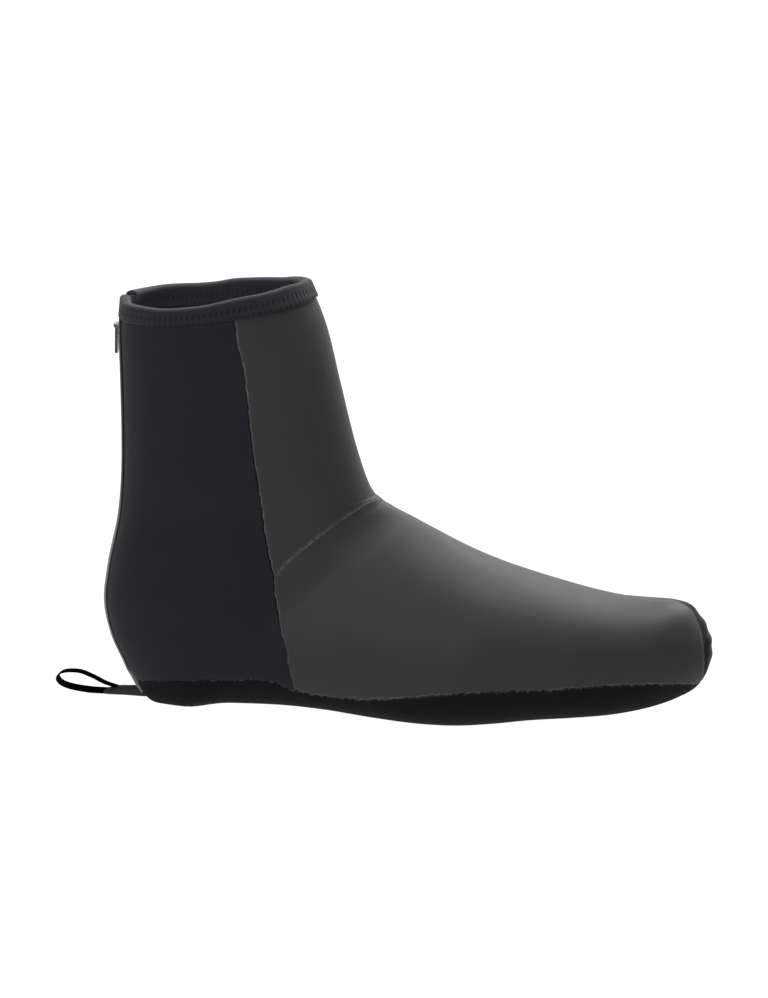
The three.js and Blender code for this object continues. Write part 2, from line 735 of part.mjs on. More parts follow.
function material(color, roughness, metalness = 0) {
  return new THREE.MeshStandardMaterial({ color, roughness, metalness });
}

const finish = {
  shell: material(0x38383a, 0.55),
  sole: material(0x1b1b1c, 0.85),
  binding: material(0x2e2e33, 0.8),
  tape: material(0x6f7072, 0.5),
  coil: material(0x161617, 0.5),
  metal: material(0xb9babc, 0.35, 0.9),
  ribbon: material(0x0b0b0c, 0.8),
  sleeve: material(0x2c2c2e, 0.9),
};

function piece(name, geometry, itsMaterial) {
  const mesh = new THREE.Mesh(geometry, itsMaterial);
  mesh.name = name;
  return mesh;
}

const overshoe = new THREE.Group();
overshoe.add(piece("upper", upperGeometry(), finish.shell));
overshoe.add(piece("sole", soleGeometry(), finish.sole));
overshoe.add(piece("collar_binding", bindingGeometry(), finish.binding));
overshoe.add(piece("zip_tape_lateral", tapeGeometry(-1), finish.tape));
overshoe.add(piece("zip_tape_medial", tapeGeometry(1), finish.tape));
overshoe.add(piece("zip_coil", coilGeometry(), finish.coil));
overshoe.add(piece("loop_sleeve", sleeveGeometry(), finish.sleeve));
overshoe.add(piece("pull_loop", loopGeometry(), finish.ribbon));

const zipHead = new THREE.Group();
zipHead.position.copy(surfacePoint(sliderStation, 0));
zipHead.quaternion.setFromRotationMatrix(zipHeadBasis());
zipHead.add(piece("zip_slider", sliderGeometry(), finish.metal));
const tab = piece("zip_pull_tab", tabGeometry(), finish.metal);
tab.position.set(barDistance, 0, 0);
zipHead.add(tab);
overshoe.add(zipHead);

export default overshoe;
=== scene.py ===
# Cycling overshoe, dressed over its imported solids: panels with real seams, bound collar, zip, woven
# sole and pull loop. Lengths in the tables are millimetres, and the meshes are in metres.
import math

import bmesh
import bpy
import numpy as np
from mathutils import Matrix, Vector


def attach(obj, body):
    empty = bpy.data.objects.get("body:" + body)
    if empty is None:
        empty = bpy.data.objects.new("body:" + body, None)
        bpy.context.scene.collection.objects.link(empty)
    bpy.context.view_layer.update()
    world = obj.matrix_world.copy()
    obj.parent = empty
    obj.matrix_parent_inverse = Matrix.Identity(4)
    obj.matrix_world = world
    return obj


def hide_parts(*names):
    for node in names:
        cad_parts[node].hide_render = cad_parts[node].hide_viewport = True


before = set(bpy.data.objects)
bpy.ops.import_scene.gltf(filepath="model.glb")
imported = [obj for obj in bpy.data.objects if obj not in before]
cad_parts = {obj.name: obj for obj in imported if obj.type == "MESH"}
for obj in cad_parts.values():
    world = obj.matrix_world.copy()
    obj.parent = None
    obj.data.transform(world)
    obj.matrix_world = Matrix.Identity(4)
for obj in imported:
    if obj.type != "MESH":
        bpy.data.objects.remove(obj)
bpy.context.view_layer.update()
mm = 0.001
random = np.random.default_rng(7)

last = {  # the foot's form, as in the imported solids
    "footLength": 294.3, "instepHeight": 104, "toeBox": 51, "toeSpring": 15, "archHeight": 4.2,
    "heelWidth": 77, "ballWidth": 104, "restPlace": 0.1325,
    "shaftHeight": 102.4, "ankleDepth": 118.5, "ankleWidth": 81, "collarDepth": 89, "collarWidth": 78,
    "dipLateral": 5, "dipMedial": 2, "dipCurve": 1.2, "upperWall": 3, "soleWall": 2.5,
    "shaft": [  # backRise, frontRise, back, open, belly, backCurve, frontCurve, dip
        (0.885, 1, 0.018, 1, 0.5, 2.15, 1.95, 1),
        (0.742, 0.789, 0.016, 0.66, 0.5, 2.15, 1.95, 0.62),
        (0.518, 0.521, 0.02, 0.44, 0.49, 2.15, 1.95, 0.25),
        (0.264, 0.253, 0.024, 0.22, 0.47, 2.15, 1.95, 0.05),
        (0.039, 0.068, 0.025, 0, 0.45, 2.15, 1.95, 0)],
    "foot": [  # sole, lift, arch, spring, nose, crest, box, climb, ball, lateral, medial, belly, curves, lean
        (0.02, 0.846, 0, 0, 0, 0.441, 1, 1.01, 0, 0.5, 0.5, 0.43, 2.2, 1.95, 0),
        (0.006, 0.635, 0, 0, 0, 0.448, 1, 0.99, 0, 0.5, 0.494, 0.42, 2.2, 1.95, 0),
        (0, 0.452, 0, 0, 0, 0.453, 1, 0.966, 0, 0.5, 0.488, 0.41, 2.2, 1.95, 0),
        (0.012, 0.303, 0, 0, 0, 0.458, 1, 0.947, 0, 0.5, 0.485, 0.4, 2.25, 1.95, 0),
        (0.031, 0.194, 0, 0, 0, 0.465, 1, 0.928, 0, 0.5, 0.482, 0.39, 2.35, 1.95, 0),
        (0.054, 0.096, 0, 0, 0, 0.472, 1, 0.908, 0, 0.5, 0.48, 0.38, 2.5, 1.95, 0),
        (0.089, 0.005, 0, 0, 0, 0.481, 1, 0.883, 0, 0.5, 0.482, 0.37, 2.9, 1.95, 0),
        (0.143, 0, -0.55, 0, 0, 0.493, 1, 0.851, 0, 0.506, 0.484, 0.35, 3.25, 1.95, 0),
        (0.214, 0, 0.35, 0, 0, 0.507, 1, 0.815, 0.05, 0.518, 0.48, 0.34, 2.9, 1.95, 0),
        (0.296, 0, 0.45, 0, 0, 0.524, 1, 0.768, 0.16, 0.529, 0.476, 0.33, 2.9, 1.95, 0),
        (0.378, 0, 0.25, 0, 0, 0.546, 1, 0.708, 0.36, 0.528, 0.476, 0.33, 2.9, 1.98, 0),
        (0.459, 0, -0.2, 0, 0, 0.575, 1, 0.628, 0.64, 0.522, 0.482, 0.33, 2.95, 2, 0),
        (0.53, 0, -0.5, 0, 0, 0.612, 1, 0.534, 0.85, 0.511, 0.492, 0.33, 3, 2.05, 0.005),
        (0.595, 0, -0.5, 0.01, 0, 0.654, 1, 0.442, 1, 0.5, 0.495, 0.34, 3, 2.1, 0.01),
        (0.656, 0, -0.2, 0.04, 0, 0.699, 1, 0.354, 1, 0.486, 0.495, 0.35, 3, 2.15, 0.019),
        (0.717, 0, 0, 0.13, 0, 0.746, 1, 0.256, 1, 0.457, 0.479, 0.36, 2.9, 2.2, 0.029),
        (0.778, 0, 0, 0.23, 0, 0.796, 1, 0.159, 1, 0.426, 0.458, 0.37, 2.8, 2.25, 0.038),
        (0.836, 0, 0, 0.33, 0, 0.849, 1, 0.08, 1, 0.38, 0.421, 0.39, 2.7, 2.25, 0.048),
        (0.884, 0, 0, 0.49, 0, 0.893, 1, 0.018, 1, 0.334, 0.38, 0.41, 2.6, 2.25, 0.058),
        (0.923, 0, 0, 0.7, 0, 0.93, 0.955, 0, 1, 0.284, 0.328, 0.43, 2.5, 2.2, 0.065),
        (0.953, 0, 0, 0.94, 0, 0.96, 0.83, 0, 1, 0.23, 0.27, 0.46, 2.35, 2.1, 0.071),
        (0.976, 0, 0, 1, 0.065, 0.981, 0.68, 0, 1, 0.172, 0.203, 0.49, 2.2, 2.05, 0.075),
        (0.991, 0, 0, 1, 0.19, 0.994, 0.54, 0, 1, 0.11, 0.132, 0.5, 2.05, 2, 0.077),
        (1, 0, 0, 1, 0.36, 1, 0.376, 0, 1, 0.004, 0.004, 0.5, 2, 2, 0.077)],
}
restX = last["restPlace"] * last["footLength"]  # from the heel's end to the frame's origin
seams = {  # seam lines as the side view shows them
    "rear": [(0, 62.1), (16.5, 60.6), (19.8, 59.8), (24.3, 58.8), (28.4, 57.7), (33, 56.7), (36.7, 55.6),
             (40.7, 54.0), (44.8, 52.6), (50.4, 51.4), (56.1, 50.3), (60.1, 49.4), (64.3, 48.9), (68.6, 48.4),
             (72.9, 47.5), (78.5, 45.9), (82.8, 45.0), (92.8, 43.3), (101.6, 42.1), (108.9, 41.2),
             (120.3, 39.0), (132.9, 37.0), (145.5, 35.3), (158, 33.5), (166.6, 32.1), (172, 30.8),
             (177.5, 29.0), (181.7, 28.3), (188.4, 27.7), (215, 27.0)],  # height, x
    "instep": [(40, 61.0), (49.7, 69.1), (51.6, 71.1), (55, 74.7), (58.9, 78.9), (64.1, 83.4), (69.1, 87.8),
               (74.4, 92.1), (80, 96.2), (85.2, 99.8), (89.2, 102.2), (93, 103.6), (100, 105)],  # x, height
    "sole": [(-100, 8.2), (-28, 8.4), (-22, 9.2), (-15.8, 10.9), (-11.5, 12.5), (-6.8, 13.6), (4, 15.1),
             (15, 16.3), (34.6, 17.8), (47.5, 18.7), (53, 17.6), (57.5, 15.7), (63.7, 14.2), (69.8, 13.3),
             (75.5, 12.8), (83.4, 12.9), (95.4, 13.2), (103.2, 14.2), (112.1, 15.4), (118.7, 16.6),
             (127.1, 17.9), (134.6, 19.2), (143.1, 20.2), (150.5, 20.9), (166.9, 22), (185.2, 22.8),
             (199.9, 24.2), (207.1, 24.7), (214.4, 24.8), (223.5, 24.6), (232.6, 24.1), (241.6, 23.1),
             (246.9, 22), (251, 21), (262, 20.6), (400, 20.6)],  # x, height
    "instepGap": 0.012,  # half the gap at the instep, in stations
    "wobble": {"rear": (6.1, 0.28), "instep": (7.3, 0.16), "sole": (4.7, 0.45)},  # pitch, amount
}


def mix(low, high, share):
    return low + (high - low) * share


def smooth(low, high, value):
    t = np.clip((value - low) / (high - low), 0, 1)
    return t * t * (3 - 2 * t)


def bump(distance, width):  # a soft hump of height 1 at no distance
    return np.exp(-(distance / width) ** 2)


def wobble(place, pitch, amount):  # two waves of unlike length, so that it never repeats evenly
    turn = 2 * np.pi * place / pitch
    return amount * (0.6 * np.sin(turn) + 0.4 * np.sin(turn * 0.37 + 1.3))


def cubic(t, start, end, startSlope, endSlope):
    # the cubic between two values with two slopes, at a share t of the way
    return (start * (2 * t**3 - 3 * t**2 + 1) + startSlope * (t**3 - 2 * t**2 + t)
            + end * (3 * t**2 - 2 * t**3) + endSlope * (t**3 - t**2))


def curveThrough(points, at):
    # a cubic from point to point, whose slope at each one comes from its two neighbours
    x, y = np.asarray(points, float).T
    slope = np.gradient(y, x)
    k = np.clip(np.searchsorted(x, at) - 1, 0, len(x) - 2)
    width = x[k + 1] - x[k]
    t = np.clip((at - x[k]) / width, 0, 1)
    return cubic(t, y[k], y[k + 1], slope[k] * width, slope[k + 1] * width)


def halving(rising, low, high, steps=40):
    # where a rising function passes zero, for a whole array at once
    low, high = np.broadcast_arrays(np.asarray(low, float), np.asarray(high, float))
    for _ in range(steps):
        middle = (low + high) / 2
        under = rising(middle) < 0
        low, high = np.where(under, middle, low), np.where(under, high, middle)
    return (low + high) / 2


def lastSections():
    # each row: back and front ends of a section in x and z, half widths, roundings, middle, dip
    size = last
    backRise, frontRise, back, opened, belly, backCurve, frontCurve, dip = np.array(size["shaft"]).T
    half = mix(size["ankleWidth"], size["collarWidth"], opened) / 2
    shaft = [back * size["footLength"], size["instepHeight"] + backRise * size["shaftHeight"],
             back * size["footLength"] + mix(size["ankleDepth"], size["collarDepth"], opened),
             size["instepHeight"] + frontRise * size["shaftHeight"],
             half, half, belly, backCurve, frontCurve, 0 * dip, dip]
    (sole, lift, arch, spring, nose, crest, box, climb, ball, lateral, medial, belly,
     soleCurve, crestCurve, lean) = np.array(size["foot"]).T
    width = mix(size["heelWidth"], size["ballWidth"], ball)
    rise = spring * size["toeSpring"]
    foot = [sole * size["footLength"],
            lift * size["instepHeight"] + arch * size["archHeight"] + rise + nose * size["toeBox"],
            crest * size["footLength"],
            rise + box * size["toeBox"] + climb * (size["instepHeight"] - size["toeBox"]),
            lateral * width, medial * width, belly, soleCurve, crestCurve, lean * size["ballWidth"], 0 * lean]
    return np.hstack([shaft, foot]).T


sections = lastSections()
slopes = np.gradient(sections, axis=0)
lastStation = len(sections) - 1


def sectionAt(station):  # all the values of a section, or of the cubic between two of them
    k = np.clip(station.astype(int), 0, lastStation - 1)
    t = (station - k)[..., None]
    return cubic(t, sections[k], sections[k + 1], slopes[k], slopes[k + 1])


def quarterOf(girth, power):
    # how far round its quarter a point is, from the back or front (0) to the side (1), as an angle
    quarter = 1 - np.abs(1 - np.mod(girth, 2))
    near, far = quarter ** (power / 2), (1 - quarter) ** (power / 2)
    return near / (near + far) * np.pi / 2


def onLast(station, girth):
    # the outer surface. Station counts the sections from the collar to the toe, and girth goes
    # round one: 0 back or sole, 1 lateral, 2 front or crest, 3 medial, 4 back again. Each quarter
    # is that of a superellipse between its section's back, side and front.
    station, girth = np.broadcast_arrays(np.asarray(station, float), np.asarray(girth, float))
    (backX, backZ, frontX, frontZ, lateral, medial, belly, backCurve, frontCurve, middle,
     dip) = np.moveaxis(sectionAt(station), -1, 0)
    around = np.mod(girth, 4)
    isRear = (around < 1) | (around > 3)
    isLateral = around < 2
    power = np.where(isRear, backCurve, frontCurve)
    angle = quarterOf(girth, power)
    reach = np.cos(angle) ** (2 / power)
    side = np.sin(angle) ** (2 / power)
    share = np.where(isRear, belly * (1 - reach), belly + (1 - belly) * reach)
    lowered = np.where(isLateral, last["dipLateral"], last["dipMedial"])
    drop = dip * np.sin(angle) ** last["dipCurve"] * lowered
    return np.stack([mix(backX, frontX, share) - restX,
                     middle + np.where(isLateral, -lateral, medial) * side,
                     np.maximum(mix(backZ, frontZ, share) - drop, 0)], -1)


def unit(vectors):
    return vectors / np.maximum(np.linalg.norm(vectors, axis=-1, keepdims=True), 1e-9)


def directions(station, girth):
    # down the sections, round them and out of the surface, from points a little apart
    probe = 0.015
    station, girth = np.broadcast_arrays(np.asarray(station, float), np.asarray(girth, float))
    low = np.clip(station - probe, 0, lastStation - 2 * probe)
    along = onLast(low + 2 * probe, girth) - onLast(low, girth)
    around = onLast(low + probe, girth + probe) - onLast(low + probe, girth - probe)
    return unit(along), unit(around), unit(np.cross(along, around))


def offLast(station, girth, height):
    # the surface, or a point at a height above it along its normal. Nothing goes below the floor.
    point = onLast(station, girth) + directions(station, girth)[2] * np.asarray(height)[..., None]
    point[..., 2] = np.maximum(point[..., 2], 0)
    return point


def girthAt(station, y):
    # the girth at which the rear half of a section is y off the middle line
    station, y = np.broadcast_arrays(np.asarray(station, float), np.asarray(y, float))
    rows = np.moveaxis(sectionAt(station), -1, 0)
    offset = y - rows[9]
    share = np.clip(np.abs(offset) / np.where(offset < 0, rows[4], rows[5]), 0, 1)
    angle = np.arcsin(share ** (rows[7] / 2)) * 2 / np.pi
    ratio = (angle / np.maximum(1 - angle, 1e-9)) ** (2 / rows[7])
    return np.where(offset < 0, 1, -1) * ratio / (1 + ratio)


def sided(girth, side):  # the same girth on the lateral (1) or medial (-1) side
    return girth if side > 0 else 4 - girth


def seamLine(name, at, wavy=0):  # the rear seam's x at a height, or another seam's height at x
    return curveThrough(seams[name], at) + wavy * wobble(at, *seams["wobble"][name])


def rearSeamGirth(station, side, wavy=0):
    def behind(girth):
        point = onLast(station, sided(girth, side))
        return point[..., 0] - seamLine("rear", point[..., 2], wavy)
    return halving(behind, np.full(np.shape(station), 0.05), 1.95)


def soleSeamGirth(station, side, wavy=0):
    def below(girth):
        point = onLast(station, sided(girth, side))
        return point[..., 2] - seamLine("sole", point[..., 0], wavy)
    return halving(below, np.zeros(np.shape(station)), 1.6)


def instepSeamStation(girth, wavy=0):
    def above(station):
        point = onLast(station, girth)
        return seamLine("instep", point[..., 0], wavy) - point[..., 2]
    return halving(above, np.full(np.shape(girth), 3.0), 13.0)


def seamStation(name, low, high, side):
    # the station at which the rear seam meets another line of the side view
    def above(station):
        point = onLast(station, sided(rearSeamGirth(station, side), side))
        return seamLine(name, point[..., 0]) - point[..., 2]
    return float(halving(above, low, high))


def soleEnd(low, high, y, rising):
    # the station at which the sole seam passes y, at the heel or at the toe
    def below(station):
        point = onLast(station, girthAt(station, y))
        return (seamLine("sole", point[..., 0]) - point[..., 2]) * rising
    return float(halving(below, low, high))


zipper = {  # the slot up the heel, its two tapes and the coil
    "slotHalf": 3.3, "notchDepth": 9, "notchWidth": 13, "foot": 10.5, "sideGap": 0.3, "slotEnd": (7.4, 12.0),
    "tapeGrid": (300, 22), "tapeWidth": 9.7, "tapeFoot": 3.9, "tapeThickness": 0.9, "tapeSunk": 0.1,
    "tapeRound": 0.6, "tapeWave": (17.0, 0.45), "waveRows": (0.3, 0.7),
    "ridge": (1.3, 0.5, 0.16), "stitch": (7.6, 0.45, -0.16),  # place across, width, height
    "footRows": (0.90, 0.955), "footEdges": (0.45, 5.6), "footCurl": 1.3,  # where the tapes close
    "footSpread": (0.935, 12.5),  # and then spread: from this share of the rows, and how far
    "toothPitch": 1.45, "toothReach": (2.75, -0.75), "toothRadius": 0.56, "toothSunk": 0.12,
    "toothSteps": (8, 6), "toothEnds": (0.3, 0.8),
}
rimHeight = float(onLast(0, 0)[2])
rim = {  # x and how far the collar's rim lies below that of the solid, on each side
    1: [(-34.5, -0.6), (-32.6, 0.8), (-30.5, 1.9), (-25, 2.3), (-16, 2.8), (-11, 3.2), (4, 3.2), (13, 2.8),
        (20, 2.1), (29, 1.4), (38, 1.4), (45, 1.2), (50, 1.0), (56, 2.2)],
    -1: [(-34.5, 0.0), (-28, -0.8), (-20, -1.3), (-12, -1.0), (-4, -0.5), (4, -0.5), (14, -1.2), (21, -1.0),
         (30, -0.5), (40, 0.3), (47, 0.4), (51, 0.9), (56, 2.2)],
}


def rimDrop(girth):
    x = onLast(0, girth)[..., 0]
    return np.where(np.mod(girth, 4) < 2, curveThrough(rim[1], x), curveThrough(rim[-1], x))


def rimStation(girth):  # the station of the wall's upper edge
    probe = 0.02
    length = np.linalg.norm(onLast(probe, girth) - onLast(0, girth), axis=-1) / probe
    return np.maximum(rimDrop(girth), 0) / length


def slotEdge(z):  # half the width of the slot at a height, with the notch at the collar
    slope = (zipper["notchWidth"] / 2 - zipper["slotHalf"]) / zipper["notchDepth"]
    return zipper["slotHalf"] + np.maximum(z - rimHeight + zipper["notchDepth"], 0) * slope


# Where the seams meet, on each side
instepJoint = {side: seamStation("instep", 5.0, 12.0, side) for side in (1, -1)}
soleJoint = {side: seamStation("sole", 11.0, 20.0, side) for side in (1, -1)}
heelTip = soleEnd(7.0, 12.0, 0.0, 1)
toeTip = soleEnd(24.0, 28.0, float(sections[26][9]), -1)
print("seams meet at stations", instepJoint, soleJoint, heelTip, toeTip)


def graded(count, gather=0.75):
    # shares from 0 to 1 that crowd together at both ends, where the seams are
    even = np.linspace(0, 1, count)
    return mix(even, (1 - np.cos(np.pi * even)) / 2, gather)


def coonsPatch(top, bottom, left, right, u, v):
    # the patch between four border curves: the sum of both mixes less that of the corners
    u, v = u[None, :, None], v[:, None, None]
    corners = mix(mix(top[0], top[-1], u), mix(bottom[0], bottom[-1], u), v)
    return mix(top[None], bottom[None], v) + mix(left[:, None], right[:, None], u) - corners


def lengthsAlong(points, axis):
    steps = np.linalg.norm(np.diff(points, axis=axis), axis=-1)
    start = np.zeros_like(np.take(steps, [0], axis))
    return np.concatenate([start, np.cumsum(steps, axis)], axis)


def shellFaces(kept):
    # quads of an outer grid and of the inner one behind it, with a wall wherever a kept quad has no
    # kept quad beside it
    rows, columns = kept.shape
    number = np.arange((rows + 1) * (columns + 1)).reshape(rows + 1, columns + 1)
    inner = number.size
    a, b, c, d = number[:-1, :-1], number[1:, :-1], number[1:, 1:], number[:-1, 1:]
    around = np.pad(kept, 1)

    def quads(mask, *corners):
        return np.stack([np.broadcast_to(corner, kept.shape)[mask] for corner in corners], -1)

    walls = [quads(kept & ~around[:-2, 1:-1], a, d, d + inner, a + inner),
             quads(kept & ~around[2:, 1:-1], c, b, b + inner, c + inner),
             quads(kept & ~around[1:-1, :-2], b, a, a + inner, b + inner),
             quads(kept & ~around[1:-1, 2:], d, c, c + inner, d + inner)]
    return (quads(kept, a, b, c, d),
            np.concatenate([quads(kept, a + inner, d + inner, c + inner, b + inner), *walls]))


def tubeFaces(rings, corners):
    # quads between rings of points that follow each other, and one face on each end
    number = np.arange(rings * corners).reshape(rings, corners)
    near, far = number[:-1], number[1:]
    sides = np.stack([near, far, np.roll(far, -1, 1), np.roll(near, -1, 1)], -1).reshape(-1, 4)
    return [sides, np.array([number[0], number[-1, ::-1]])]


def makePiece(name, points, faces, materials, replaced, lengths=None, faceMaterials=None, marks=None):
    # a mesh from arrays, closed where points meet, with its faces turned outwards
    points = np.asarray(points, float).reshape(-1, 3)
    corners = np.concatenate([group.ravel() for group in faces])
    sizes = np.concatenate([np.full(len(group), group.shape[1]) for group in faces])
    triangles = np.concatenate([group[:, [0, k, k + 1]] for group in faces
                                for k in range(1, group.shape[1] - 1)])
    p, q, r = (points[triangles[:, k]] for k in range(3))
    if np.einsum("ij,ij->", p, np.cross(q, r)) < 0:  # the volume is negative when they face inwards
        corners = np.concatenate([group[:, ::-1].ravel() for group in faces])
    mesh = bpy.data.meshes.new(name)
    mesh.vertices.add(len(points))
    mesh.vertices.foreach_set("co", (points * mm).astype(np.float32).ravel())
    mesh.loops.add(len(corners))
    mesh.loops.foreach_set("vertex_index", corners.astype(np.int32))
    mesh.polygons.add(len(sizes))
    mesh.polygons.foreach_set("loop_start", np.concatenate([[0], np.cumsum(sizes)[:-1]]).astype(np.int32))
    mesh.polygons.foreach_set("use_smooth", np.ones(len(sizes), bool))
    if faceMaterials is not None:
        mesh.polygons.foreach_set("material_index", faceMaterials.astype(np.int32))
    if lengths is not None:
        layer = mesh.uv_layers.new(name="weave")
        layer.data.foreach_set("uv", np.asarray(lengths, np.float32).reshape(-1, 2)[corners].ravel())
    for mark, value in (marks or {}).items():
        layer = mesh.attributes.new(mark, "FLOAT", "POINT")
        layer.data.foreach_set("value", np.asarray(value, np.float32).ravel())
    mesh.update(calc_edges=True)
    work = bmesh.new()
    work.from_mesh(mesh)
    bmesh.ops.remove_doubles(work, verts=work.verts, dist=1e-6)
    bmesh.ops.delete(work, geom=[vert for vert in work.verts if not vert.link_faces], context="VERTS")
    work.to_mesh(mesh)
    work.free()
    for material in materials:
        mesh.materials.append(material)
    piece = bpy.data.objects.new(name, mesh)
    bpy.context.scene.collection.objects.link(piece)
    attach(piece, "shoe")
    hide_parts(replaced)
    print(name, len(mesh.polygons), "faces")


def operator(operation, swapped=False):  # a method that makes a Math node from two values
    def method(self, other):
        return self.maths(operation, *((other, self) if swapped else (self, other)))
    return method


class Value:
    # wraps a shader socket, so that arithmetic on it adds Math nodes
    def __init__(self, shader, socket):
        self.shader = shader
        self.socket = socket

    def maths(self, operation, *values):
        return self.shader.node("ShaderNodeMath", {"operation": operation}, dict(enumerate(values)))

    __add__, __radd__ = operator("ADD"), operator("ADD", True)
    __sub__, __rsub__ = operator("SUBTRACT"), operator("SUBTRACT", True)
    __mul__, __rmul__ = operator("MULTIPLY"), operator("MULTIPLY", True)
    __pow__, least, most = operator("POWER"), operator("MINIMUM"), operator("MAXIMUM")

    def size(self):
        return self.maths("ABSOLUTE", self)

    def wave(self, pitch):  # a sine from -1 to 1
        turn = self * (2 * math.pi / pitch)
        return turn.maths("SINE", turn)

    def rib(self, pitch):  # a sine from 0 to 1
        return self.wave(pitch) * 0.5 + 0.5


class Finish:
    # one material: its nodes, its patterns and its principled shader
    def __init__(self, name):
        self.material = bpy.data.materials.new(name)
        self.material.use_nodes = True
        self.tree = self.material.node_tree
        self.shader = self.tree.nodes["Principled BSDF"]
        self.place = self.node("ShaderNodeTexCoord", {}, {}, "Object")

    def node(self, kind, settings=None, inputs=None, output=0):
        made = self.tree.nodes.new(kind)
        for key, value in (settings or {}).items():
            setattr(made, key, value)
        for key, value in (inputs or {}).items():
            self.join(made.inputs[key], value)
        return Value(self, made.outputs[output])

    def join(self, socket, value):
        if isinstance(value, Value):
            self.tree.links.new(value.socket, socket)
        elif socket.type == "RGBA":
            socket.default_value = (*value[:3], 1)
        else:
            socket.default_value = value

    def noise(self, size, detail=2.0, rough=0.5, stretch=None):
        # cloudy noise from 0 to 1, whose patches are about size millimetres wide
        at = self.place
        if stretch:
            at = self.node("ShaderNodeMapping", {}, {"Vector": at, "Scale": stretch})
        return self.node("ShaderNodeTexNoise", {}, {
            "Vector": at, "Scale": 1 / (size * mm), "Detail": detail, "Roughness": rough}, "Fac")

    def step(self, value, low, high):
        # 0 below low and 1 above high, with a soft rise between them
        return self.node("ShaderNodeMapRange", {"interpolation_type": "SMOOTHSTEP"}, {
            "Value": value, "From Min": low, "From Max": high}, "Result")

    def fall(self, value, low, high):
        return 1 - self.step(value, low, high)

    def mix(self, factor, first, second):
        return self.node("ShaderNodeMix", {"data_type": "RGBA"}, {0: factor, 6: first, 7: second}, 2)

    def lengths(self):
        # the piece's own two lengths across and along, in millimetres
        layer = self.node("ShaderNodeUVMap", {"uv_map": "weave"}, {}, "UV")
        across = self.node("ShaderNodeSeparateXYZ", {}, {"Vector": layer}, "X")
        return across, Value(self, across.socket.node.outputs["Y"])

    def mark(self, name):
        return self.node("ShaderNodeAttribute", {"attribute_name": name}, {}, "Fac")

    def relief(self, height, depth):
        # bump whose height of 1 stands depth millimetres
        return self.node("ShaderNodeBump", {}, {
            "Height": height, "Distance": depth * mm, "Strength": 1.0}, "Normal")

    def set(self, **inputs):
        for key, value in inputs.items():
            self.join(self.shader.inputs[key.replace("_", " ")], value)
        return self.material


def byLength(border, count, gather=0.75):
    # points of a border, (station, girth) at a share from 0 to 1, spaced by their length on the
    # surface, and how far its waviness moves each one
    fine = np.linspace(0, 1, 500)
    length = lengthsAlong(onLast(*border(fine, 0)), 0)
    share = np.interp(graded(count, gather) * length[-1], length, fine)
    smoothLine, wavyLine = (np.stack(np.broadcast_arrays(*border(share, wavy)), -1) for wavy in (0, 1))
    return smoothLine, wavyLine - smoothLine


def stationAndGirth(patch):
    return patch[..., 0], patch[..., 1]


def gridBetween(top, bottom, left, right, across, down, place=stationAndGirth):
    # a Coons patch between smooth borders, which place turns into stations and girths. Their
    # waviness fades out within a few millimetres.
    top[0][0], top[0][-1], bottom[0][0], bottom[0][-1] = left[0][0], right[0][0], left[0][-1], right[0][-1]
    patch = coonsPatch(top[0], bottom[0], left[0], right[0], across, down)
    surface = onLast(*place(patch))
    below, beside = lengthsAlong(surface, 0), lengthsAlong(surface, 1)
    for border, distance in ((top[1][None], below), (bottom[1][None], below[-1:] - below),
                             (left[1][:, None], beside), (right[1][:, None], beside[:, -1:] - beside)):
        patch = patch + border * bump(distance, panels["waveReach"])[..., None]
    return place(patch)


def edgeDistance(points, sides):
    # how far each point is from the borders that are seams, measured along the grid's lines
    down = lengthsAlong(points, 0)
    across = lengthsAlong(points, 1)
    reach = {"top": down, "bottom": down[-1:] - down, "left": across, "right": across[:, -1:] - across}
    return np.minimum.reduce([reach[side] for side in sides])


def middleOut(lengths):  # lengths counted from a grid's middle line
    return lengths - np.take(lengths, [lengths.shape[1] // 2], 1)


creases = [  # soft troughs (-) and ridges (+) of the cover, the same on both sides: points x and z
    {"line": [(55, 96), (68, 98), (80, 103), (90, 110)], "width": 5.5, "depth": 0.9},
    {"line": [(50, 104), (62, 108), (74, 116)], "width": 5.0, "depth": -0.6},
    {"line": [(60, 76), (74, 82), (92, 92), (108, 96)], "width": 6.0, "depth": -0.7},
    {"line": [(-28, 60), (-10, 66), (10, 70), (30, 66)], "width": 7.0, "depth": -0.6},
    {"line": [(-26, 46), (-8, 50), (12, 51)], "width": 6.0, "depth": 0.5},
    {"line": [(72, 40), (92, 30), (116, 24)], "width": 8.0, "depth": -0.7},
]


def nearestOnLine(point, line):
    # each point's distance from a line of straight steps, the share of the steps passed where it is
    # nearest, and the way from there to the point
    near = np.full(point.shape[:-1], np.inf)
    share = np.zeros(near.shape)
    offset = np.zeros(point.shape)
    for k in range(len(line) - 1):
        step = line[k + 1] - line[k]
        t = np.clip(((point - line[k]) @ step) / (step @ step), 0, 1)
        way = point - line[k] - t[..., None] * step
        far = np.linalg.norm(way, axis=-1)
        share = np.where(far < near, (k + t) / (len(line) - 1), share)
        offset = np.where((far < near)[..., None], way, offset)
        near = np.minimum(near, far)
    return near, share, offset


def creaseHeight(point):
    # the sum of humps whose height falls off with the side view's distance from each crease's line,
    # and towards both its ends
    height = np.zeros(point.shape[:-1])
    for crease in creases:
        near, share, offset = nearestOnLine(point[..., [0, 2]], np.array(crease["line"], float))
        fade = smooth(0, 0.4, share) * smooth(1, 0.6, share)
        height += crease["depth"] * fade * bump(near, crease["width"])
    return height


panels = {  # rows and columns of each panel's grid, and the rounding of its edges
    "rear": (168, 70), "shaftFront": (124, 150), "vamp": (150, 300), "sole": (220, 104),
    "edgeRound": 1.3, "edgeDrop": 0.42, "gap": 0.15, "girthLength": 60, "waveReach": 2.2, "vampGather": 0.3,
}


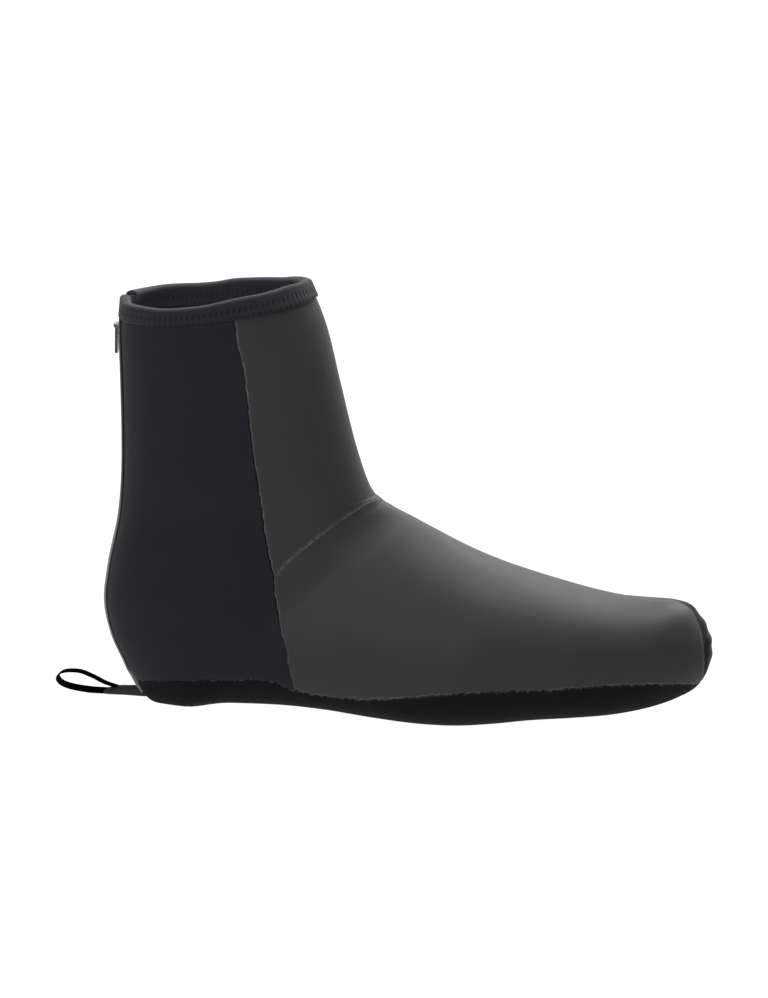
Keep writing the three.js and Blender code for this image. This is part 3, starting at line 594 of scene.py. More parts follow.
def roundedEdge(distance, drop=panels["edgeDrop"], width=panels["edgeRound"]):
    # how far the surface turns in at a cut edge: a quarter circle's fall over the rounding's width
    inward = np.clip(1 - distance / width, 0, 1)
    return -drop * (1 - np.sqrt(1 - inward ** 2 * 0.98))


def makeShell(name, outer, inner, materials, replaced, lengths, edge, kept=None, dark=None):
    # a wall between two grids, closed all round, with its first material on the outer one
    kept = np.ones((outer.shape[0] - 1, outer.shape[1] - 1), bool) if kept is None else kept
    faces = shellFaces(kept)
    marks = {"edge": edge} if dark is None else {"edge": edge, "dark": dark}
    makePiece(name, np.concatenate([outer.reshape(-1, 3), inner.reshape(-1, 3)]), faces, materials,
              replaced, np.concatenate([lengths.reshape(-1, 2)] * 2),
              np.repeat([0, 1], [len(group) for group in faces]),
              {mark: np.concatenate([value.ravel()] * 2) for mark, value in marks.items()})


def upperPanel(name, grid, cut, materials, fromMiddle=True, raised=0, seamInside=np.inf, dark=None):
    # a panel of the upper from its grid of stations and girths, with creases and turned edges
    surface = onLast(*grid)
    edge = edgeDistance(surface, cut)
    outer = offLast(*grid, creaseHeight(surface) + roundedEdge(edge) + raised)
    inner = offLast(*grid, -last["upperWall"])
    across = lengthsAlong(surface, 1)
    lengths = np.stack([middleOut(across) if fromMiddle else across, lengthsAlong(surface, 0)], -1)
    makeShell(name, outer, inner, materials, "upper", lengths, np.minimum(edge, seamInside), dark=dark)


def slotGirth(station, side):
    # the girth of the slot's edge, which closes to the middle line below the zip's foot
    half = np.full(np.shape(station), zipper["slotHalf"])
    for _ in range(4):
        girth = girthAt(station, -half * side)
        z = onLast(station, girth)[..., 2]
        half = slotEdge(z) * np.sqrt(smooth(*zipper["slotEnd"], z))
    return girth if side > 0 else -girth


def onSeam(girth, shift):  # the same line, moved round the surface by a part of the gap between panels
    return girth + shift * panels["gap"] / panels["girthLength"]


def rimStart(side):  # where the rear seam leaves the rim
    return float(rimStation(sided(rearSeamGirth(np.array(0.1), side), side)))


def rimBorder(left, right, side):  # the rim from one border's first point to the other's
    def border(t, wavy):
        girth = mix(left[0][0, 1], right[0][0, 1], t)
        return rimStation(sided(girth, side)), girth
    return border


def frontSeamBorder(side, start, end):  # the rear seam as a border of the panels in front of it
    def border(t, wavy):
        station = mix(start, end, t)
        return station, sided(onSeam(rearSeamGirth(station, side, wavy), 1), side)
    return border


def instepBorder(left, right, row, gap):  # the instep seam between one row of both side borders
    def border(t, wavy):
        girth = mix(left[0][row, 1], right[0][row, 1], t)
        return instepSeamStation(girth, wavy) + gap, girth
    return border


def rearPanel(name, side, materials):
    rows, columns = panels["rear"]

    def slotBorder(t, wavy):
        station = mix(rimStation(sided(0.08, side)), heelTip, t)
        return station, np.maximum(slotGirth(station, side), 0)

    def seamBorder(t, wavy):
        station = mix(rimStart(side), soleJoint[side], t)
        return station, onSeam(rearSeamGirth(station, side, wavy), -1)

    def soleBorder(t, wavy):
        station = mix(heelTip, soleJoint[side], t ** 2)
        return station, onSeam(soleSeamGirth(station, side, wavy), 1)

    left, right = byLength(slotBorder, rows + 1), byLength(seamBorder, rows + 1)
    bottom = byLength(soleBorder, columns + 1)
    bottom[1][0] = 0
    top = byLength(rimBorder(left, right, side), columns + 1)
    station, girth = gridBetween(top, bottom, left, right, graded(columns + 1), graded(rows + 1))
    upperPanel(name, (station, sided(girth, side)), ("bottom", "left", "right"), materials,
               False)


def shaftFrontPanel(materials):
    rows, columns = panels["shaftFront"]
    left, right = (byLength(frontSeamBorder(side, rimStart(side), instepJoint[side]), rows + 1)
                   for side in (1, -1))
    bottom = byLength(instepBorder(left, right, -1, -seams["instepGap"]), columns + 1)
    top = byLength(rimBorder(left, right, 1), columns + 1)
    grid = gridBetween(top, bottom, left, right, graded(columns + 1), graded(rows + 1))
    upperPanel("shaft_front_panel", grid, ("bottom", "left", "right"), materials)


def toPlane(border):
    # a flat map round the tip of the toe: stations from it as the distance, girth as the angle
    reach, angle = lastStation - border[..., 0], border[..., 1] * np.pi / 2
    return np.stack([reach * np.cos(angle), reach * np.sin(angle)], -1)


def fromPlane(flat):
    station = lastStation - np.hypot(flat[..., 0], flat[..., 1])
    return station, np.mod(np.arctan2(flat[..., 1], flat[..., 0]) * 2 / np.pi, 4)


def vampPanel(materials):
    rows, columns = panels["vamp"]
    half, gather = columns // 2, panels["vampGather"]

    def soleBorder(side):
        def border(t, wavy):
            station = mix(soleJoint[side], toeTip, 1 - (1 - t) ** 2)
            return station, sided(onSeam(soleSeamGirth(station, side, wavy), 1), side)
        return border

    def flattened(border):  # smooth line and waviness, both in the flat map
        line = toPlane(border[0])
        return line, toPlane(border[0] + border[1]) - line

    left, right = (byLength(frontSeamBorder(side, instepJoint[side], soleJoint[side]), rows + 1)
                   for side in (1, -1))
    top = byLength(instepBorder(left, right, 0, seams["instepGap"]), columns + 1, gather)
    lateral, medial = (byLength(soleBorder(side), half + 1, gather) for side in (1, -1))
    left, right, top, lateral, medial = map(flattened, (left, right, top, lateral, medial))
    bottom = tuple(np.concatenate([one[:-1], (one[-1:] + other[-1:]) / 2, other[-2::-1]])
                   for one, other in zip(lateral, medial))
    share = graded(half + 1, gather)
    across = np.concatenate([share / 2, 0.5 + share[1:] / 2])
    grid = gridBetween(top, bottom, left, right, across, graded(rows + 1), fromPlane)
    surface = onLast(*grid)
    far, ahead = dartDistance(surface)
    height = surface[..., 2]
    # painted shade: the vamp is marked dark in front of the dart, standing in for the shade on the tuck
    # there, and fading out towards the top
    dark = (smooth(*dart["tuckShadeStart"], ahead) * smooth(*dart["tuckShadeEnd"], far)
            * smooth(*dart["tuckShadeTop"], height))
    upperPanel("vamp_panel", grid, ("top", "bottom", "left", "right"), materials,
               raised=dartHeight(far, ahead, height), seamInside=far + 0.15, dark=dark)


dart = {  # the dart over the toe, the tuck in front of it, and the painted shade that darkens the tuck
    "line": [(24.6, 2.04), (25.1, 1.95), (25.6, 1.80), (26.1, 1.60), (26.5, 1.32), (26.75, 1.0),
             (26.8, 0.66), (26.6, 0.3), (25.95, 0.06)],  # station, girth
    "front": (0.45, 0.89, 0), "sharp": 1.3,  # the way in front, and how soon a point counts as there
    "groove": (-0.6, 0.7), "welt": (0.25, 1.2), "weltBehind": 1.9,  # height, width
    "tuckStart": (0.4, 4.5), "tuckEnd": (19, 9), "tuckLow": (30, 42), "tuckTop": (63, 53),
    "lumps": (0.95, 0.35), "lumpTop": 41.9, "lumpPitch": 7,
    # where the painted shade in front of the dart starts, ends and fades out at the top
    "tuckShadeStart": (0.2, 0.9), "tuckShadeEnd": (12.0, 2.4), "tuckShadeTop": (66, 60),
}


def dartDistance(point):
    # how far each point is from the dart's line, and that with a sign: above 0 in front of it
    near, share, offset = nearestOnLine(point, onLast(*np.array(dart["line"], float).T))
    facing = (offset @ dart["front"]) / np.maximum(near, 1e-6)
    return near, np.clip(dart["sharp"] * facing, -1, 1) * near


def dartHeight(distance, ahead, height):
    # a narrow groove, a welt behind it, and in front a tuck that swells in even lumps
    tuck = (smooth(*dart["tuckStart"], ahead) * smooth(*dart["tuckEnd"], ahead)
            * smooth(*dart["tuckLow"], height) * smooth(*dart["tuckTop"], height))
    level, swell = dart["lumps"]
    lumps = level + swell * np.cos((height - dart["lumpTop"]) * 2 * np.pi / dart["lumpPitch"])
    (groove, grooveWidth), (welt, weltWidth) = dart["groove"], dart["welt"]
    return (groove * bump(distance, grooveWidth) + welt * bump(ahead + dart["weltBehind"], weltWidth)
            + tuck * lumps)


openings = {  # x of the middle, length, width, corner
    "cleat": ((0.585 - last["restPlace"]) * last["footLength"], 60, 36, 10),
    "heel": ((0.237 - last["restPlace"]) * last["footLength"], 32, 28, 10),
}


def outsideOpening(point, opening):
    # distance from a rounded rectangle's outline, negative inside, and the way out of it
    middle, length, width, corner = opening
    offset = point[..., :2] - (middle, 0)
    beyond = np.abs(offset) - (length / 2 - corner, width / 2 - corner)
    outer = np.maximum(beyond, 0)
    far = np.linalg.norm(outer, axis=-1)
    within = np.minimum(beyond.max(-1), 0)
    sideways = np.where((beyond[..., 0] > beyond[..., 1])[..., None], (1.0, 0.0), (0.0, 1.0))
    away = np.where(far[..., None] > 1e-6, outer / np.maximum(far, 1e-6)[..., None], sideways)
    return far + within - corner, away * np.sign(offset)


soleCloth = {  # x, y on both sides, reach and height of each lump, and where the openings are cut
    "lumps": [(-13, 18, 8, 1.7), (30, 26, 15, 0.9)], "lumpTop": (11, 6), "edgeDrop": 0.3,
    "openingTop": 12, "openingSnap": 3,
}


def soleLobes(point):
    # the sum of soft lumps of the slack cloth, low on the sole
    height = 0
    for x, y, reach, rise in soleCloth["lumps"]:
        height = height + rise * bump(np.hypot(point[..., 0] - x, np.abs(point[..., 1]) - y), reach)
    return height * smooth(*soleCloth["lumpTop"], point[..., 2])


def solePiece(materials):
    rows, columns = panels["sole"]
    station = mix(heelTip, toeTip, graded(rows + 1, 0.4))
    lateral, medial = (onSeam(soleSeamGirth(station, side, 1), -1) for side in (1, -1))
    lateral[[0, -1]] = medial[[0, -1]] = 0
    lateral, medial = np.maximum(lateral, 0), np.maximum(medial, 0)
    girth = mix(lateral[:, None], -medial[:, None], graded(columns + 1, 0.5)[None])
    station = np.broadcast_to(station[:, None], girth.shape)
    surface = onLast(station, girth)
    edge = edgeDistance(surface, ("left", "right"))
    outer = offLast(station, girth, roundedEdge(edge, soleCloth["edgeDrop"]) + soleLobes(surface))
    inner = offLast(station, girth, -last["soleWall"])
    kept = np.ones((rows, columns), bool)
    centre = (surface[:-1, :-1] + surface[1:, 1:]) / 2
    for opening in openings.values():
        kept &= ~((outsideOpening(centre, opening)[0] < 0) & (centre[..., 2] < soleCloth["openingTop"]))
    # the points at the edge of what is cut move onto the openings' outlines
    around = np.pad(kept, 1, constant_values=True)
    beside = [around[:-1, :-1], around[1:, :-1], around[:-1, 1:], around[1:, 1:]]
    atEdge = (np.logical_or.reduce(beside) & ~np.logical_and.reduce(beside))[..., None]
    for opening in openings.values():
        for grid in (outer, inner):
            far, away = outsideOpening(grid, opening)
            near = atEdge & (np.abs(far) < soleCloth["openingSnap"])[..., None]
            grid[..., :2] -= np.where(near, far[..., None] * away, 0)
    lengths = np.stack([middleOut(lengthsAlong(surface, 1)), surface[..., 0]], -1)
    makeShell("sole_cloth_piece", outer, inner, materials, "sole", lengths, edge, kept)


collar = {  # the folded binding, with its cover stitch
    "height": 9.7, "thickness": 1.0, "roll": 2.2, "clearance": 0.3, "steps": 620,
    "leafSteps": 11, "rollSteps": 14, "stitchPitch": 2.9, "slant": 0.22,
    "slot": (3.0, 5.8), "slotWidth": 0.6, "slotDepth": 0.34, "dotDrop": 8.7, "dotWidth": 0.75,
    "dotDepth": 0.32, "unevenPitch": 7.7, "wave": (17.0, 0.12), "waveDrop": (4, 9.7),
    "turnedIn": (9.0, 9.7, -0.35), "innerLeaf": 30,  # where the inner leaf's lengths count down from
}


def rimPoint(girth, drop, distance):
    # a point near the rim: drop goes down the wall from it, distance out of the wall
    probe = 0.02
    step = (onLast(probe, girth) - onLast(0, girth)) / probe
    length = np.linalg.norm(step, axis=-1)
    station = np.maximum(drop, 0) / length
    return (offLast(station, girth, distance)
            + step / length[..., None] * np.minimum(drop, 0)[..., None])


def stitchDent(place, drop):
    # dents of the cover stitch: upright slots in one row, and short dots between them at the edge
    turn = (place + collar["slant"] * drop) / collar["stitchPitch"]
    across = (turn - np.round(turn)) * collar["stitchPitch"]
    low, high = collar["slot"]
    slot = (bump(across, collar["slotWidth"]) * smooth(low - 0.5, low + 0.3, drop)
            * smooth(high + 0.5, high - 0.3, drop))
    between = (turn - np.floor(turn) - 0.5) * collar["stitchPitch"]
    dot = bump(np.hypot(between, drop - collar["dotDrop"]), collar["dotWidth"])
    uneven = 0.75 + 0.25 * wobble(place, collar["unevenPitch"], 1.0)
    return -(collar["slotDepth"] * slot + collar["dotDepth"] * dot) * uneven


def bindingPiece(materials):
    leaf = np.linspace(collar["height"], 0, collar["leafSteps"])
    turn = np.linspace(0, np.pi, collar["rollSteps"] + 2)[1:-1]
    outside = collar["clearance"] + collar["thickness"]
    inside = -last["upperWall"] - outside
    middle, half = (outside + inside) / 2, (outside - inside) / 2
    drop = np.concatenate([leaf, -collar["roll"] * np.sin(turn), leaf[::-1]])
    skin = np.concatenate([0 * leaf + outside, middle + half * np.cos(turn), 0 * leaf + inside])
    within = half - collar["thickness"]
    lining = np.concatenate([0 * leaf + outside - collar["thickness"], middle + within * np.cos(turn),
                             0 * leaf + inside + collar["thickness"]])
    underside = np.concatenate([leaf, -0.3 + 0 * turn, leaf[::-1]])

    def lowered(drops, girth):  # the lower edge stays, and the rest shrinks under the lowered rim
        return drops + rimDrop(girth) * (1 - np.maximum(drops, 0) / collar["height"])

    def grid(drops, distances):
        drops, distances = drops[:, None], distances[:, None]

        def pastNotch(side):
            def clear(girth):
                point = rimPoint(sided(girth, side), lowered(drops, sided(girth, side)), distances)
                return np.abs(point[..., 1]) - slotEdge(point[..., 2])
            return halving(clear, np.zeros(drops.shape), 0.6, 24)

        share = np.linspace(0, 1, collar["steps"] + 1)[None]
        return mix(pastNotch(1), 4 - pastNotch(-1), share)

    outerGirth = grid(drop, skin)
    innerGirth = grid(underside, lining)
    rough = rimPoint(outerGirth, drop[:, None], skin[:, None])
    place = np.broadcast_to(lengthsAlong(rough[:1], 1), outerGirth.shape)
    below = np.broadcast_to(drop[:, None], outerGirth.shape)
    sideways = np.where(skin > middle, 1, -1)[:, None]
    dent = stitchDent(place, below) + wobble(place, *collar["wave"]) * smooth(*collar["waveDrop"], below)
    low, high, turn = collar["turnedIn"]
    turnedIn = turn * smooth(low, high, below)
    outer = rimPoint(outerGirth, lowered(drop[:, None], outerGirth),
                     skin[:, None] + sideways * (dent + turnedIn))
    inner = rimPoint(innerGirth, lowered(underside[:, None], innerGirth), lining[:, None])
    lengths = np.stack([place, np.where(sideways > 0, below, collar["innerLeaf"] - below)], -1)
    makeShell("collar_binding_strip", outer, inner, materials, "collar_binding", lengths,
              np.abs(below))


def backStation(height):
    # the station whose back line passes a height
    heelFlat = len(last["shaft"]) + 7

    def passed(station):
        return height - onLast(station, 0)[..., 2]
    return float(halving(passed, 0, heelFlat))


zipTop = rimHeight - collar["height"] - 0.3
zipStart, zipEnd, tapeEnd = map(backStation, (zipTop, zipper["foot"], zipper["tapeFoot"]))


def zipTape(name, side, materials):
    rows, columns = zipper["tapeGrid"]
    row = np.linspace(0, 1, rows + 1)[:, None]
    fine = np.linspace(zipStart, tapeEnd, 600)
    length = lengthsAlong(onLast(fine, 0), 0)
    station = np.interp(row, length / length[-1], fine)
    inner, outer = zipper["slotHalf"], zipper["slotHalf"] + zipper["tapeWidth"]
    share = graded(columns + 1, 0.5)[None]
    # towards the foot the tapes close over the coil, narrow, and spread apart to a curled end
    foot = smooth(*zipper["footRows"], row)
    spreadFrom, spread = zipper["footSpread"]
    spread = spread * np.clip((row - spreadFrom) / (1 - spreadFrom), 0, 1) ** 1.5
    wave = wobble(row * 200 + 40 * side, *zipper["tapeWave"]) * smooth(*zipper["waveRows"], row) * (1 - foot)
    y = mix(mix(inner, outer + wave, share), mix(*zipper["footEdges"], share), foot) + spread
    girth = girthAt(station, -y * side)
    station = np.broadcast_to(station, girth.shape)
    surface = onLast(station, girth)
    edge = edgeDistance(surface, ("left", "right"))
    across = share * (outer - inner)
    height = zipper["sideGap"] + zipper["tapeThickness"] - zipper["tapeSunk"]
    height = height + roundedEdge(edge, width=zipper["tapeRound"])
    height = height + zipper["footCurl"] * foot * np.abs(2 * share - 1) ** 1.5
    for place, width, rise in (zipper["ridge"], zipper["stitch"]):
        height = height + rise * bump(across - place, width)
    lengths = np.stack([across + 0 * station, lengthsAlong(surface, 0)], -1)
    under = offLast(station, girth, zipper["sideGap"] + 0 * edge)
    makeShell(name + "_piece", offLast(station, girth, height), under, materials, name,
              lengths, edge)


def zipCoil(materials):
    # bent rods that lie across the slot in turn from each side, each one a tube along a half wave
    count = int((zipTop - zipper["foot"] - 1) / zipper["toothPitch"]) * 2
    fine = np.linspace(zipStart, zipEnd, 400)
    length = lengthsAlong(onLast(fine, 0), 0)
    first, final = zipper["toothEnds"]
    at = np.interp(np.linspace(first, length[-1] - final, count), length, fine)
    side = np.where(np.arange(count) % 2, 1, -1)
    rings, corners = zipper["toothSteps"]
    ring, turn = np.linspace(0, 1, rings), np.linspace(0, 2 * np.pi, corners, endpoint=False)[:, None]
    across = side[:, None] * mix(*zipper["toothReach"], ring[None])
    height = 0.28 - 0.55 * ring ** 3 + 0.1 * np.sin(np.pi * ring) - zipper["toothSunk"]
    radius = zipper["toothRadius"] * np.sqrt(1 - (2 * ring - 1) ** 6 * 0.8)
    station = np.broadcast_to(at[:, None], across.shape)
    girth = girthAt(station, -across)
    along, around, out = directions(station, girth)
    centre = onLast(station, girth) + out * height[None, :, None]
    points = (centre[:, :, None] + radius[None, :, None, None]
              * (np.cos(turn) * along[:, :, None] * 1.05 + np.sin(turn) * out[:, :, None]))
    start = np.arange(count)[:, None, None] * rings * corners
    faces = [(group[None] + start).reshape(-1, group.shape[1]) for group in tubeFaces(rings, corners)]
    makePiece("zip_coil_teeth", points, faces, materials, "zip_coil")


loop = {  # ribbon and sleeve, with the loop's middle line as reach, height and swing of its own size
    "width": 7, "thickness": 0.8, "reach": 22.5, "rise": 8, "steps": 210, "around": 20, "legHeight": 1.5,
    "floor": 0.1, "path": [  # reach, height, swing, tilt in degrees
        (0.00, 0.00, 0.00, 12), (0.06, 0.00, 0.00, 12), (0.34, 0.05, 0.08, 12), (0.66, 0.22, 0.20, 10),
        (0.89, 0.46, 0.29, 8), (1.00, 0.79, 0.33, 5), (0.96, 1.09, 0.32, 3), (0.80, 1.25, 0.27, 2),
        (0.54, 1.20, 0.18, 0), (0.28, 0.88, 0.08, -2), (0.03, 0.50, 0.00, -2), (-0.25, 0.28, 0.00, -2)],
}
sleeve = {
    "width": 10, "length": 22, "overhang": 1.5, "swing": 5, "rootSwing": -6.0, "clearance": 0.4,
    "taper": [(0, 2.2), (0.12, 2.8), (0.27, 3.7), (0.5, 4.2), (0.7, 4.5), (1, 4.6)],  # share, height
    "corners": 56, "steps": 66, "fray": 0.45, "frayShift": 0.16, "bulge": 0.05, "cornerLength": 4.2,
}
sleeveEnd = (sleeve["overhang"] - restX, -sleeve["swing"])  # x and y


def ribbonOutline(count, width, thickness):
    # a flat outline with round edges: a superellipse of high power
    angle = np.linspace(0, 2 * np.pi, count, endpoint=False) + np.pi / count
    x, y = np.cos(angle), np.sin(angle)
    return (np.sign(x) * np.abs(x) ** 0.35 * width / 2, np.sign(y) * np.abs(y) ** 0.6 * thickness / 2)


def pullLoop(materials):
    rows = np.array(loop["path"], float)
    stops = np.linspace(0, 1, len(rows))
    share = np.linspace(0, 1, loop["steps"] + 1)
    reach, rise, swing, tilt = (curveThrough(np.stack([stops, rows[:, k]], -1), share) for k in range(4))
    centre = np.stack([sleeveEnd[0] - 0.3 - reach * loop["reach"], sleeveEnd[1] - swing * loop["reach"],
                       loop["legHeight"] + rise * loop["rise"]], -1)
    tangent = unit(np.gradient(centre, axis=0))
    tangent[0] = (-1, 0, 0)
    level = np.stack([0 * tilt, np.cos(np.radians(tilt)), np.sin(np.radians(tilt))], -1)
    face = unit(np.cross(tangent, level))
    across = unit(np.cross(face, tangent))
    x, y = ribbonOutline(loop["around"], loop["width"], loop["thickness"])
    points = centre[:, None] + across[:, None] * x[None, :, None] + face[:, None] * y[None, :, None]
    points[..., 2] = np.maximum(points[..., 2], loop["floor"])
    lengths = np.stack(np.broadcast_arrays(x[None], lengthsAlong(centre, 0)[:, None]), -1)
    makePiece("pull_loop_ribbon", points, tubeFaces(len(points), len(x)), materials, "pull_loop",
              lengths)


def loopSleeve(materials):
    # a flattened tube that tapers to the rear, with its upper side kept clear of the heel
    corners, steps = sleeve["corners"], sleeve["steps"]
    angle = np.linspace(0, 2 * np.pi, corners, endpoint=False)
    x, y = (np.sign(f(angle)) * np.sqrt(np.abs(f(angle))) / 2 for f in (np.cos, np.sin))
    share = np.linspace(0, 1, steps + 1)[:, None]
    height = curveThrough(sleeve["taper"], share)
    fray = sleeve["fray"] * random.standard_normal(corners)[None] * (share == 0)
    bulge = 1 + sleeve["bulge"] * np.sin(np.pi * share * 3.0) * (1 - share)
    points = np.stack(np.broadcast_arrays(
        sleeveEnd[0] + share * sleeve["length"] + fray + sleeve["frayShift"] * (share == 0),
        mix(sleeveEnd[1], sleeve["rootSwing"], share) + x * sleeve["width"] * (1 - 0.02 * bulge),
        sleeve["clearance"] + (y * 0.97 * bulge + 0.5) * height), -1)
    # the sole's back line at each x is what the top stays under
    back = onLast(np.linspace(7.2, 12, 200), 0)
    order = np.argsort(back[:, 0])
    ceiling = np.interp(points[..., 0], back[order, 0], back[order, 2]) - sleeve["clearance"]
    points[..., 2] = np.maximum(np.minimum(points[..., 2], np.maximum(ceiling, 0.6)), 0.42)
    around, along = angle[None] * sleeve["cornerLength"], share * sleeve["length"]
    lengths = np.stack(np.broadcast_arrays(around, along), -1)
    makePiece("loop_sleeve_cloth", points, tubeFaces(len(points), corners), materials,
              "loop_sleeve", lengths)


colors = {  # dark and light tone of each finish, and the single tones that lie over them
    "coated": [(0.0238, 0.0238, 0.0240), (0.0285, 0.0285, 0.0287)],
    # the coated cloth's near-black tone below is painted shade, for the tuck in front of the toe's dart
    "coatedTuckShade": (0.006, 0.006, 0.006), "coatedWorn": (0.095, 0.094, 0.09),
    "jersey": [(0.0108, 0.0100, 0.0138), (0.0130, 0.0120, 0.0164)], "jerseyWorn": (0.07, 0.07, 0.075),
    "lining": [(0.014, 0.014, 0.016), (0.024, 0.024, 0.027)],
    "sole": [(0.001, 0.001, 0.001), (0.0085, 0.0085, 0.0088)], "soleFrayed": (0.10, 0.10, 0.098),
    "binding": [(0.0110, 0.0105, 0.0140), (0.0150, 0.0143, 0.0187)],
    # painted light: the binding's inner leaf tone is lighter than its outer tones, and its roll tone is a
    # painted highlight
    "bindingInsideLit": (0.029, 0.0283, 0.035), "bindingRoll": (0.045, 0.044, 0.051),
    "bindingThread": (0.003, 0.003, 0.004),
    # the tape's light tone and its edge tone are a painted reflection of grazing light along the heel's
    # outline
    "tape": [(0.017, 0.017, 0.02), (0.10, 0.10, 0.103)], "tapeEdgeReflection": (0.2, 0.2, 0.204),
    "coil": [(0.008, 0.008, 0.009), (0.014, 0.014, 0.0155)],
    "plated": [(0.09, 0.09, 0.093), (0.74, 0.74, 0.75)],
    "blackened": [(0.035, 0.035, 0.037), (0.10, 0.10, 0.103)],
    "ribbon": [(0.0008, 0.0008, 0.0009), (0.002, 0.002, 0.0022)],
    "sleeve": [(0.004, 0.004, 0.0042), (0.048, 0.048, 0.049)], "sleeveFrayed": (0.10, 0.10, 0.10),
}


def coatedCloth():
    # smooth coated stretch cloth: faint grain, soft satin, a pale worn line along its cut edge, and painted
    # shade on the tuck in front of the toe's dart
    finish = Finish("coated_shell_cloth")
    grain = finish.noise(0.35, 3)
    cloud = finish.noise(26, 3)
    patches = finish.noise(3.2, 2)
    broken = finish.step(finish.noise(1.6, 3, 0.6), 0.36, 0.62) * finish.step(finish.noise(11, 2), 0.3, 0.62)
    worn = finish.fall(finish.mark("edge"), 0.3, 1.15) * (0.22 + 0.78 * broken)
    # painted shade: where the vamp is marked dark, in front of the toe's dart, the colour is mixed towards a
    # near-black tone
    tuckShade = finish.mark("dark")
    plain = finish.mix(cloud, *colors["coated"])
    color = finish.mix(worn, finish.mix(tuckShade * 0.9, plain, colors["coatedTuckShade"]), colors["coatedWorn"])
    return finish.set(Base_Color=color, Roughness=0.5 + 0.1 * cloud + worn * 0.2 + tuckShade * 0.3,
                      Normal=finish.relief(grain * 0.35 + patches * 0.65, 0.10), Specular_IOR_Level=0.13)


def jerseyCloth():
    # black stretch jersey: fine upright wales, matt, with a bluish cast
    finish = Finish("stretch_jersey")
    across, along = finish.lengths()
    knit = across.wave(0.9) * along.wave(0.75)
    cloud = finish.noise(30, 3)
    fuzz = finish.noise(0.5, 3, 0.7)
    worn = finish.fall(finish.mark("edge"), 0.2, 0.6) * finish.step(finish.noise(2.4, 3, 0.6), 0.52, 0.7)
    color = finish.mix(worn * 0.3, finish.mix(cloud, *colors["jersey"]), colors["jerseyWorn"])
    return finish.set(Base_Color=color, Roughness=0.85, Normal=finish.relief(knit * 0.4 + fuzz * 0.8, 0.10),
                      Sheen_Weight=0.04, Sheen_Roughness=0.5, Specular_IOR_Level=0.12)


def innerLining():
    finish = Finish("inner_lining")
    fuzz = finish.noise(0.7, 3, 0.7)
    color = finish.mix(finish.noise(18, 2), *colors["lining"])
    return finish.set(Base_Color=color, Roughness=0.9, Normal=finish.relief(fuzz, 0.15), Sheen_Weight=0.2)


def soleWeave():
    # coarse lattice of crossing yarns, each crossing a small diamond, with pale scuffs on its edge
    finish = Finish("sole_weave")
    across, along = finish.lengths()
    lattice = (across + along).wave(3.2).size().least((across - along).wave(3.2).size())
    yarn = finish.step(lattice, 0.05, 0.55)
    fuzz = finish.noise(0.4, 3, 0.7)
    cloud = finish.noise(12, 3)
    frayed = finish.fall(finish.mark("edge"), 0.15, 0.8) * finish.step(finish.noise(1.3, 3, 0.6), 0.42, 0.6)
    dark = finish.mix(yarn * (0.5 + 0.5 * cloud), *colors["sole"])
    return finish.set(Base_Color=finish.mix(frayed * 0.75, dark, colors["soleFrayed"]), Roughness=0.85,
                      Specular_IOR_Level=0.09, Normal=finish.relief(yarn + fuzz * 0.35, 0.28))


def bindingKnit():
    # ribbed knit with dark thread sunk in the slots and dots of its cover stitch, its inner leaf painted
    # lighter as if lit inside the collar, and a painted highlight along its rolled top
    finish = Finish("binding_tape_knit")
    across, along = finish.lengths()
    pitch = collar["stitchPitch"]
    low, high = collar["slot"]
    knit = across.rib(0.62) * along.rib(0.5)
    fuzz = finish.noise(0.45, 3, 0.7)
    leaf = along.least(collar["innerLeaf"] - along)
    place = (across + leaf * collar["slant"]) * (1 / pitch)
    fold = place.maths("PINGPONG", place, 0.5) * pitch
    slot = (finish.fall(fold, 0.35, 0.62) * finish.step(leaf, low - 0.35, low)
            * finish.fall(leaf, high, high + 0.35))
    aside, beside = pitch / 2 - fold, leaf - collar["dotDrop"]
    dot = finish.fall((aside * aside + beside * beside) ** 0.5, 0.45, 0.85)
    inside = finish.step(along, 14, 18)
    base = finish.mix(finish.noise(14, 3), *colors["binding"])
    # painted light: the inner leaf is made lighter than the outer one, standing in for light reaching inside
    # the collar
    litLeaves = finish.mix(inside, base, colors["bindingInsideLit"])
    # painted highlight: the rolled top edge is made paler, where light from above catches the fold
    rollHighlighted = finish.mix(finish.fall(leaf, -2.1, -1.0) * 0.6, litLeaves, colors["bindingRoll"])
    stitch = slot.most(dot)
    color = finish.mix(stitch * (0.75 - 0.5 * inside), rollHighlighted, colors["bindingThread"])
    return finish.set(Base_Color=color, Roughness=0.8, Sheen_Weight=0.06, Sheen_Roughness=0.5,
                      Normal=finish.relief(knit * 0.5 + fuzz * 0.6 - stitch * 0.5, 0.12),
                      Specular_IOR_Level=0.15)


def coatedTape():
    finish = Finish("coated_zip_tape")
    across, along = finish.lengths()
    grain = finish.noise(0.5, 3)
    cloud = finish.noise(9, 3)
    # painted reflection: the tape is made paler towards its foot, and paler still along its outer edge, for
    # the grazing light seen along the heel's outline
    lowerReflection = finish.step(along, 70, 112) * (0.8 + 0.2 * cloud)
    base = finish.mix(lowerReflection, *colors["tape"])
    color = finish.mix(finish.step(across, 7.9, 8.6) * lowerReflection * 0.6, base, colors["tapeEdgeReflection"])
    return finish.set(Base_Color=color, Roughness=0.52 + 0.12 * cloud, Coat_Weight=0.1,
                      Normal=finish.relief(along.rib(0.8) * 0.4 + grain * 0.5, 0.08))


def coilNylon():
    finish = Finish("nylon_coil")
    cloud = finish.noise(3, 2)
    return finish.set(Base_Color=finish.mix(cloud, *colors["coil"]), Roughness=0.36 + 0.12 * cloud)


